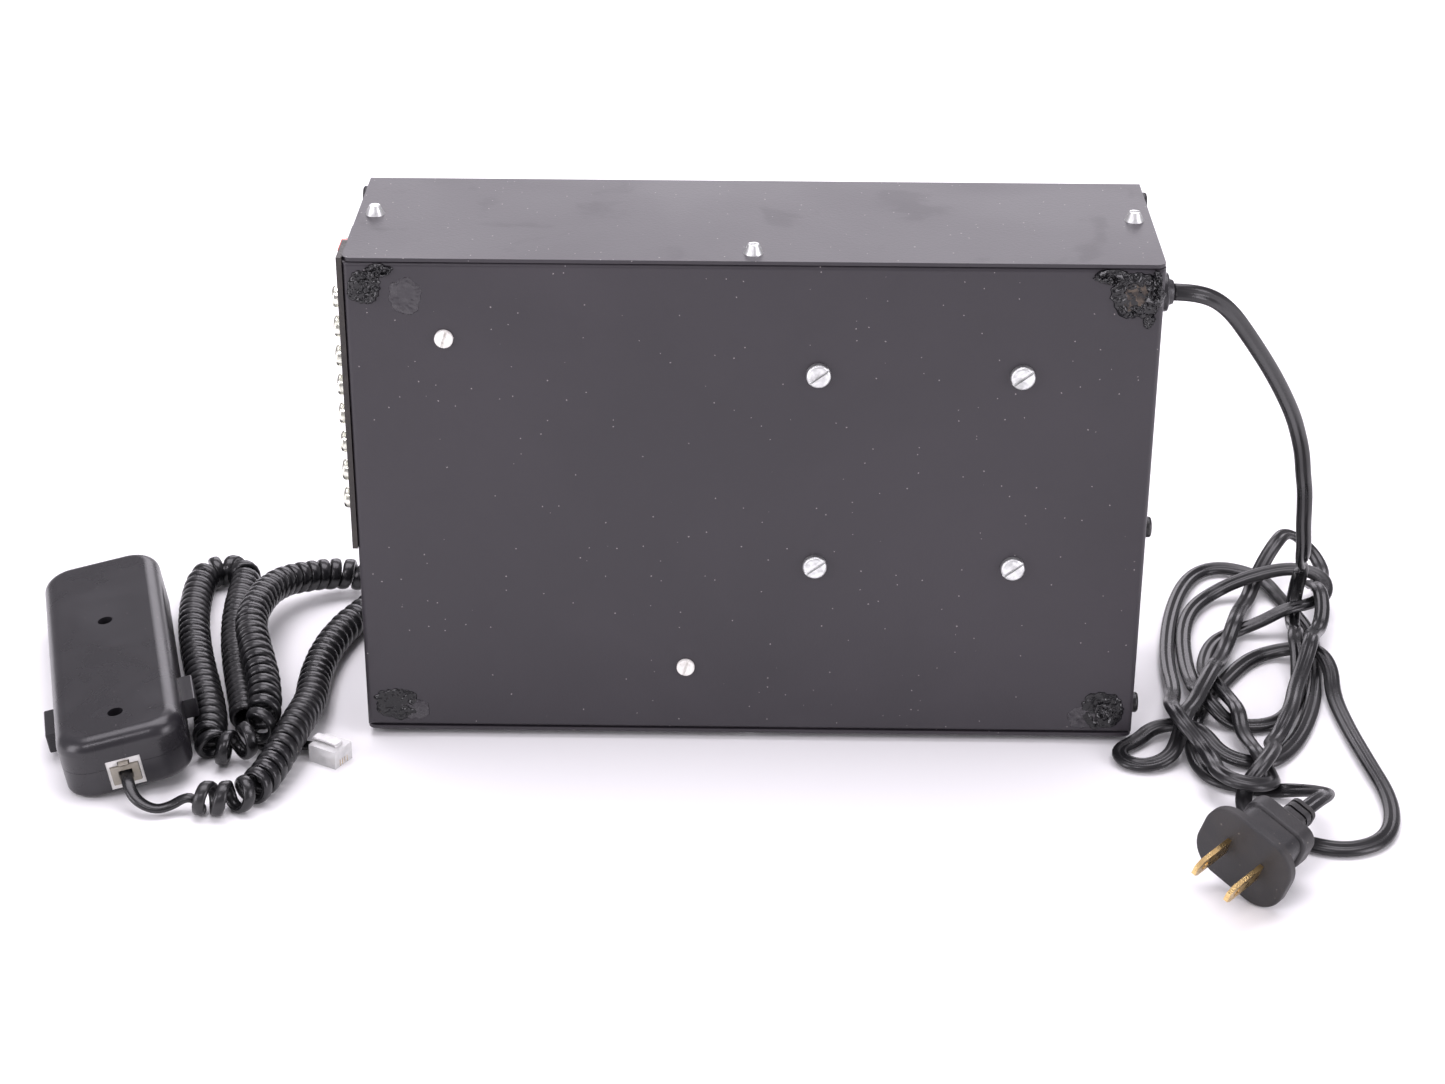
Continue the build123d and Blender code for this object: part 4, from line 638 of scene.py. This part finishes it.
def crust(name, x, z, half_width, half_height, material, seed, height, rough, hollow=0.0):
    """A torn patch on the plate: a disc of points raised by folded noise, hollow in its middle."""
    vertices, faces = [], []
    for ring in range(CRUST_RINGS + 1):
        share = ring / CRUST_RINGS
        edge = 1 - share ** CRUST_EDGE
        bowl = 1 - hollow * math.exp(-(share / CRUST_HOLLOW) ** 4)
        for spoke in range(CRUST_SPOKES):
            turn = 2 * math.pi * spoke / CRUST_SPOKES
            lobe = 1
            for reach, often, shift in CRUST_LOBES:
                at = Vector((math.cos(turn) * often, math.sin(turn) * often, seed + shift))
                lobe += reach * noise.noise(at)
            point_x = x + math.cos(turn) * half_width * share * lobe
            point_z = z + math.sin(turn) * half_height * share * lobe
            folds = 0
            for tall, often, shift in CRUST_FOLDS:
                at = Vector((point_x * often, point_z * often, seed + shift))
                folds += tall * abs(noise.noise(at))
            rise = height * edge * bowl * (CRUST_BASE + rough * folds)
            least = CRUST_SKIN if share < 1 else 0.0
            vertices.append((point_x, PLATE_Y - max(rise, least), point_z))
    for ring in range(CRUST_RINGS):
        inner, outer = ring * CRUST_SPOKES, (ring + 1) * CRUST_SPOKES
        for spoke in range(CRUST_SPOKES):
            following = (spoke + 1) % CRUST_SPOKES
            faces.append((inner + spoke, inner + following, outer + following, outer + spoke))
    faces.append(tuple(CRUST_RINGS * CRUST_SPOKES + spoke for spoke in range(CRUST_SPOKES)))
    patch = piece(name, vertices, faces, material)
    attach(patch, "enclosure")
    return patch


# Glossy black adhesive, brown crumbled foam rubber, and a thin film paler than the enamel.
tar = worn_finish("set_adhesive", (0.004, 0.004, 0.005), (0.012, 0.012, 0.013), rough=(0.10, 0.22),
                  patch=0.003, fine=0.0009, detail=2.0, depth=0.00018)
foam = worn_finish("old_foam", (0.050, 0.042, 0.038), (0.16, 0.125, 0.095), rough=0.75,
                   patch=0.003, fine=0.0008, detail=5.0, depth=0.0006, ior=1.4)
film = worn_finish("dried_film", (0.034, 0.031, 0.036), (0.055, 0.052, 0.056), rough=(0.22, 0.34),
                   patch=0.004, fine=0.0012, depth=0.0002)
# Name, place across and up, half sizes, finish, seed, height, roughness of the folds, hollow.
CRUSTS = [
    ("adhesive_upper_left", -0.1231, 0.1642, 0.0052, 0.0058, tar, 1.0, 0.0013, 1.0, 0.8),
    ("adhesive_upper_left_core", -0.1231, 0.1645, 0.0024, 0.0026, tar, 1.6, 0.0009, 1.2, 0.0),
    ("adhesive_upper_left_tuft", -0.1183, 0.1700, 0.0042, 0.0022, tar, 2.2, 0.0012, 1.2, 0.0),
    ("adhesive_upper_left_spill", -0.1270, 0.1620, 0.0018, 0.0022, tar, 2.9, 0.0007, 1.0, 0.0),
    ("adhesive_upper_left_film", -0.1104, 0.1613, 0.0054, 0.0060, film, 3.1, 0.0004, 0.8, 0.93),
    ("adhesive_upper_right", 0.1210, 0.1636, 0.0084, 0.0082, tar, 4.0, 0.0013, 1.2, 0.7),
    ("adhesive_upper_right_trail", 0.1132, 0.1696, 0.0064, 0.0026, tar, 4.7, 0.0012, 1.3, 0.0),
    ("adhesive_upper_right_edge", 0.1272, 0.1650, 0.0021, 0.0070, tar, 5.0, 0.0014, 1.3, 0.0),
    ("adhesive_upper_right_drip", 0.1256, 0.1552, 0.0021, 0.0026, tar, 5.6, 0.0012, 1.2, 0.0),
    ("foot_foam", 0.1203, 0.1634, 0.0050, 0.0056, foam, 6.0, 0.0011, 0.45, 0.0),
    ("adhesive_lower_left", -0.1197, 0.0130, 0.0072, 0.0062, tar, 7.0, 0.0010, 0.9, 0.6),
    ("adhesive_lower_left_smear", -0.1135, 0.0108, 0.0050, 0.0040, film, 7.7, 0.0005, 0.9, 0.0),
    ("adhesive_lower_right", 0.1195, 0.0130, 0.0076, 0.0070, tar, 8.0, 0.0011, 1.0, 0.75),
    ("adhesive_lower_right_core", 0.1197, 0.0127, 0.0032, 0.0030, tar, 8.6, 0.0009, 1.1, 0.0),
    ("adhesive_lower_right_smear", 0.1135, 0.0100, 0.0056, 0.0042, film, 8.9, 0.0005, 0.9, 0.0),
]
crusts = [crust(*row) for row in CRUSTS]
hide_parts("foot_adhesive")

# ---------------------------------------------------------------- the screws
# The cover is held by six cone-headed slotted screws, zinc plated, and the box stands on the
# lower three. Pan heads in the underside plate hold the transformer, two low heads hold the
# circuit board's posts, and black pan heads hold the end walls.
zinc = wear_metal("zinc_plate", (0.80, 0.81, 0.80), (0.56, 0.57, 0.56), rough=(0.36, 0.55),
                  patch=0.003)
clothe(zinc, "cover_screws", "transformer_screws", "transformer_nuts", "transformer_frame",
       "terminal_nuts", "device_nuts", "handset_screws")


# Off-white lacquer on the low heads, and black oxide with a faint oily sheen on the end walls'.
clothe(worn_finish("pale_lacquer", (0.87, 0.86, 0.82), (0.68, 0.66, 0.62), rough=(0.3, 0.5),
                   patch=0.002, fine=0.0005, depth=0.0001), "standoff_screws", "standoffs")
clothe(worn_finish("black_oxide", (0.03, 0.03, 0.032), (0.09, 0.088, 0.085), rough=(0.28, 0.5),
                   patch=0.002, fine=0.0004, depth=0.00006, metallic=0.6), "side_screws")

# ---------------------------------------------------------------- the terminals
# Eight nickel-plated pan-head screws in a row through a strip of dark paper laminate, which
# is riveted to the end wall. Each has a brass ring tag and a nut inside.
nickel = wear_metal("nickel_plate", (0.80, 0.80, 0.72), (0.52, 0.53, 0.44), rough=(0.16, 0.38),
                    patch=0.002)
clothe(nickel, *(f"terminal_screw_{number}" for number in range(1, 9)))
# Dark brown-black laminate with its fibre just showing.
clothe(worn_finish("paper_laminate", (0.022, 0.019, 0.017), (0.040, 0.034, 0.030),
                   rough=(0.42, 0.6), patch=0.006, sharpness=0.25, fine=0.0006, detail=5.0,
                   depth=0.0002), "terminal_board")
clothe(brass, "board_rivets", "solder_lugs", "fuse_clips", "loose_contacts")

# ---------------------------------------------------------------- switch, socket and bushing
# The rocker is translucent red plastic in a snap-in black housing. The modular socket and the
# cord bushing are moulded in black nylon.
nylon = worn_finish("black_nylon", (0.020, 0.019, 0.022), (0.030, 0.029, 0.033),
                    rough=(0.34, 0.46), patch=0.02, fine=0.0007, depth=0.00012,
                    specks=((0.22, 0.21, 0.20), 0.007, 0.04, 0.3))
lamp_red = worn_finish("lamp_red", (0.62, 0.030, 0.022), (0.75, 0.07, 0.05), rough=(0.18, 0.32),
                       patch=0.004, fine=0.0008, depth=0.00006, ior=1.49, coat=0.3)
lamp_red.node_tree.nodes["Principled BSDF"].inputs["Subsurface Weight"].default_value = 0.2
clothe(nylon, "switch_housing", "remote_jack", "strain_relief")
clothe(lamp_red, "switch_rocker")

# ---------------------------------------------------------------- the handset
# Two moulded black shells screwed together at the back, with a push button on each side and a
# clear socket at one end. It lies on its face.
CLEAR_DARKER = 0.85          # of the colour, in the patches
CLEAR_ROUGHER = 0.12         # more than the roughness, in the patches


def clear_moulding(name, colour, clear, roughness):
    """Clear or milky moulded plastic, a little darker and rougher in patches."""
    darker = tuple(c * CLEAR_DARKER for c in colour)
    return worn_finish(name, colour, darker, (roughness, roughness + CLEAR_ROUGHER), patch=0.004,
                       ior=1.49, clear=clear)


clothe(worn_finish("textured_black", (0.013, 0.012, 0.0145), (0.020, 0.019, 0.022),
                   rough=(0.27, 0.32), patch=0.03, fine=0.0004, detail=2.0, depth=0.000012,
                   specks=((0.16, 0.15, 0.15), 0.003, 0.06, 0.35)),
       "handset_back", "handset_front", "left_button", "right_button")
clothe(clear_moulding("milky_socket", (0.88, 0.87, 0.84), 0.25, 0.15), "handset_jack")
clothe(clear_moulding("clear_plug", (0.97, 0.97, 0.96), 0.4, 0.05), "loose_plug")
clothe(clear_moulding("smoky_plug", (0.50, 0.46, 0.38), 0.45, 0.06), "handset_plug")

# ---------------------------------------------------------------- inside the box
# A laminated transformer in a steel strap, a green circuit board on four posts with two
# relays, a bridge rectifier, a smoothing can and a fuse, and leads to the terminals.
PLAIN_FINISHES = [
    ("laminated_iron", (0.05, 0.05, 0.052), (0.11, 0.10, 0.095), (0.4, 0.6), ["transformer_core"]),
    ("winding_tape", (0.62, 0.46, 0.12), (0.75, 0.60, 0.22), (0.3, 0.5), ["transformer_coil"]),
    ("board_green", (0.02, 0.12, 0.04), (0.03, 0.18, 0.06), (0.3, 0.45),
     ["circuit_board", "handset_board"]),
    ("relay_black", (0.02, 0.02, 0.02), (0.04, 0.04, 0.04), (0.35, 0.5),
     ["relays", "rectifier", "power_transistors"]),
    ("can_sleeve", (0.02, 0.03, 0.12), (0.03, 0.05, 0.18), (0.25, 0.4), ["capacitor"]),
    ("fuse_glass", (0.75, 0.78, 0.78), (0.6, 0.62, 0.6), (0.08, 0.2), ["fuse"]),
    ("cream_nylon", (0.75, 0.72, 0.62), (0.65, 0.62, 0.52), (0.4, 0.55),
     ["lead_header", "button_switches"]),
    ("lead_red", (0.42, 0.02, 0.02), (0.5, 0.05, 0.04), (0.3, 0.45), ["terminal_leads"]),
]
for name, fresh, worn, rough, names in PLAIN_FINISHES:
    clothe(worn_finish(name, fresh, worn, rough, patch=0.01, fine=0.0006, depth=0.0001), *names)
clothe(vinyl, "mains_leads")

# ---------------------------------------------------------------- the studio
# A white floor lit by a large overhead box, a box behind, two side boxes, a small box over the
# front and an even room. All the lights share one slight tint.
FLOOR_HALF = 3.0
ROOM_TINT = (1.0, 0.955, 1.03)
ROOM_STRENGTH = 0.45
# Name, place, what it points at, width, height and power.
SOFT_BOXES = [
    ("overhead_box", (0.0, 0.25, 1.35), (0.0, 0.0, 0.1), 1.5, 1.0, 20.5),
    ("back_box", (0.0, 1.6, 0.8), (0.0, 0.0, 0.17), 1.3, 0.75, 8.5),
    ("left_box", (-1.2, -0.7, 0.5), (0.0, 0.0, 0.08), 0.6, 0.9, 9.0),
    ("right_box", (1.2, -0.7, 0.5), (0.0, 0.0, 0.08), 0.6, 0.9, 9.0),
    ("front_box", (-0.45, -1.2, 1.35), (0.0, 0.0, 0.08), 0.35, 0.35, 4.5),
]


def studio_floor():
    """A plain matt white plane, which isn't part of the object."""
    material, _, shader = finish_named("sweep_white")
    shader.inputs["Base Color"].default_value = (0.93, 0.93, 0.93, 1)
    shader.inputs["Roughness"].default_value = 0.9
    shader.inputs["Specular IOR Level"].default_value = 0.1
    corners = [(x * FLOOR_HALF, y * FLOOR_HALF, 0) for x, y in ((-1, -1), (1, -1), (1, 1), (-1, 1))]
    floor = piece("studio_floor", corners, [(0, 1, 2, 3)], material)


def soft_box(name, place, aim, width, height, watts):
    """A rectangular soft light pointed at a spot."""
    light = bpy.data.lights.new(name, "AREA")
    light.shape = "RECTANGLE"
    light.size, light.size_y = width, height
    light.energy = watts
    light.color = ROOM_TINT
    holder = bpy.data.objects.new(name, light)
    holder.location = place
    holder.rotation_euler = (Vector(aim) - Vector(place)).to_track_quat("-Z", "Y").to_euler()
    bpy.context.scene.collection.objects.link(holder)


studio_floor()
for row in SOFT_BOXES:
    soft_box(*row)
room = bpy.data.worlds.new("white_room")
room.use_nodes = True
background = room.node_tree.nodes["Background"]
background.inputs["Color"].default_value = (*ROOM_TINT, 1)
background.inputs["Strength"].default_value = ROOM_STRENGTH
bpy.context.scene.world = room
bpy.context.scene.view_settings.view_transform = "Standard"
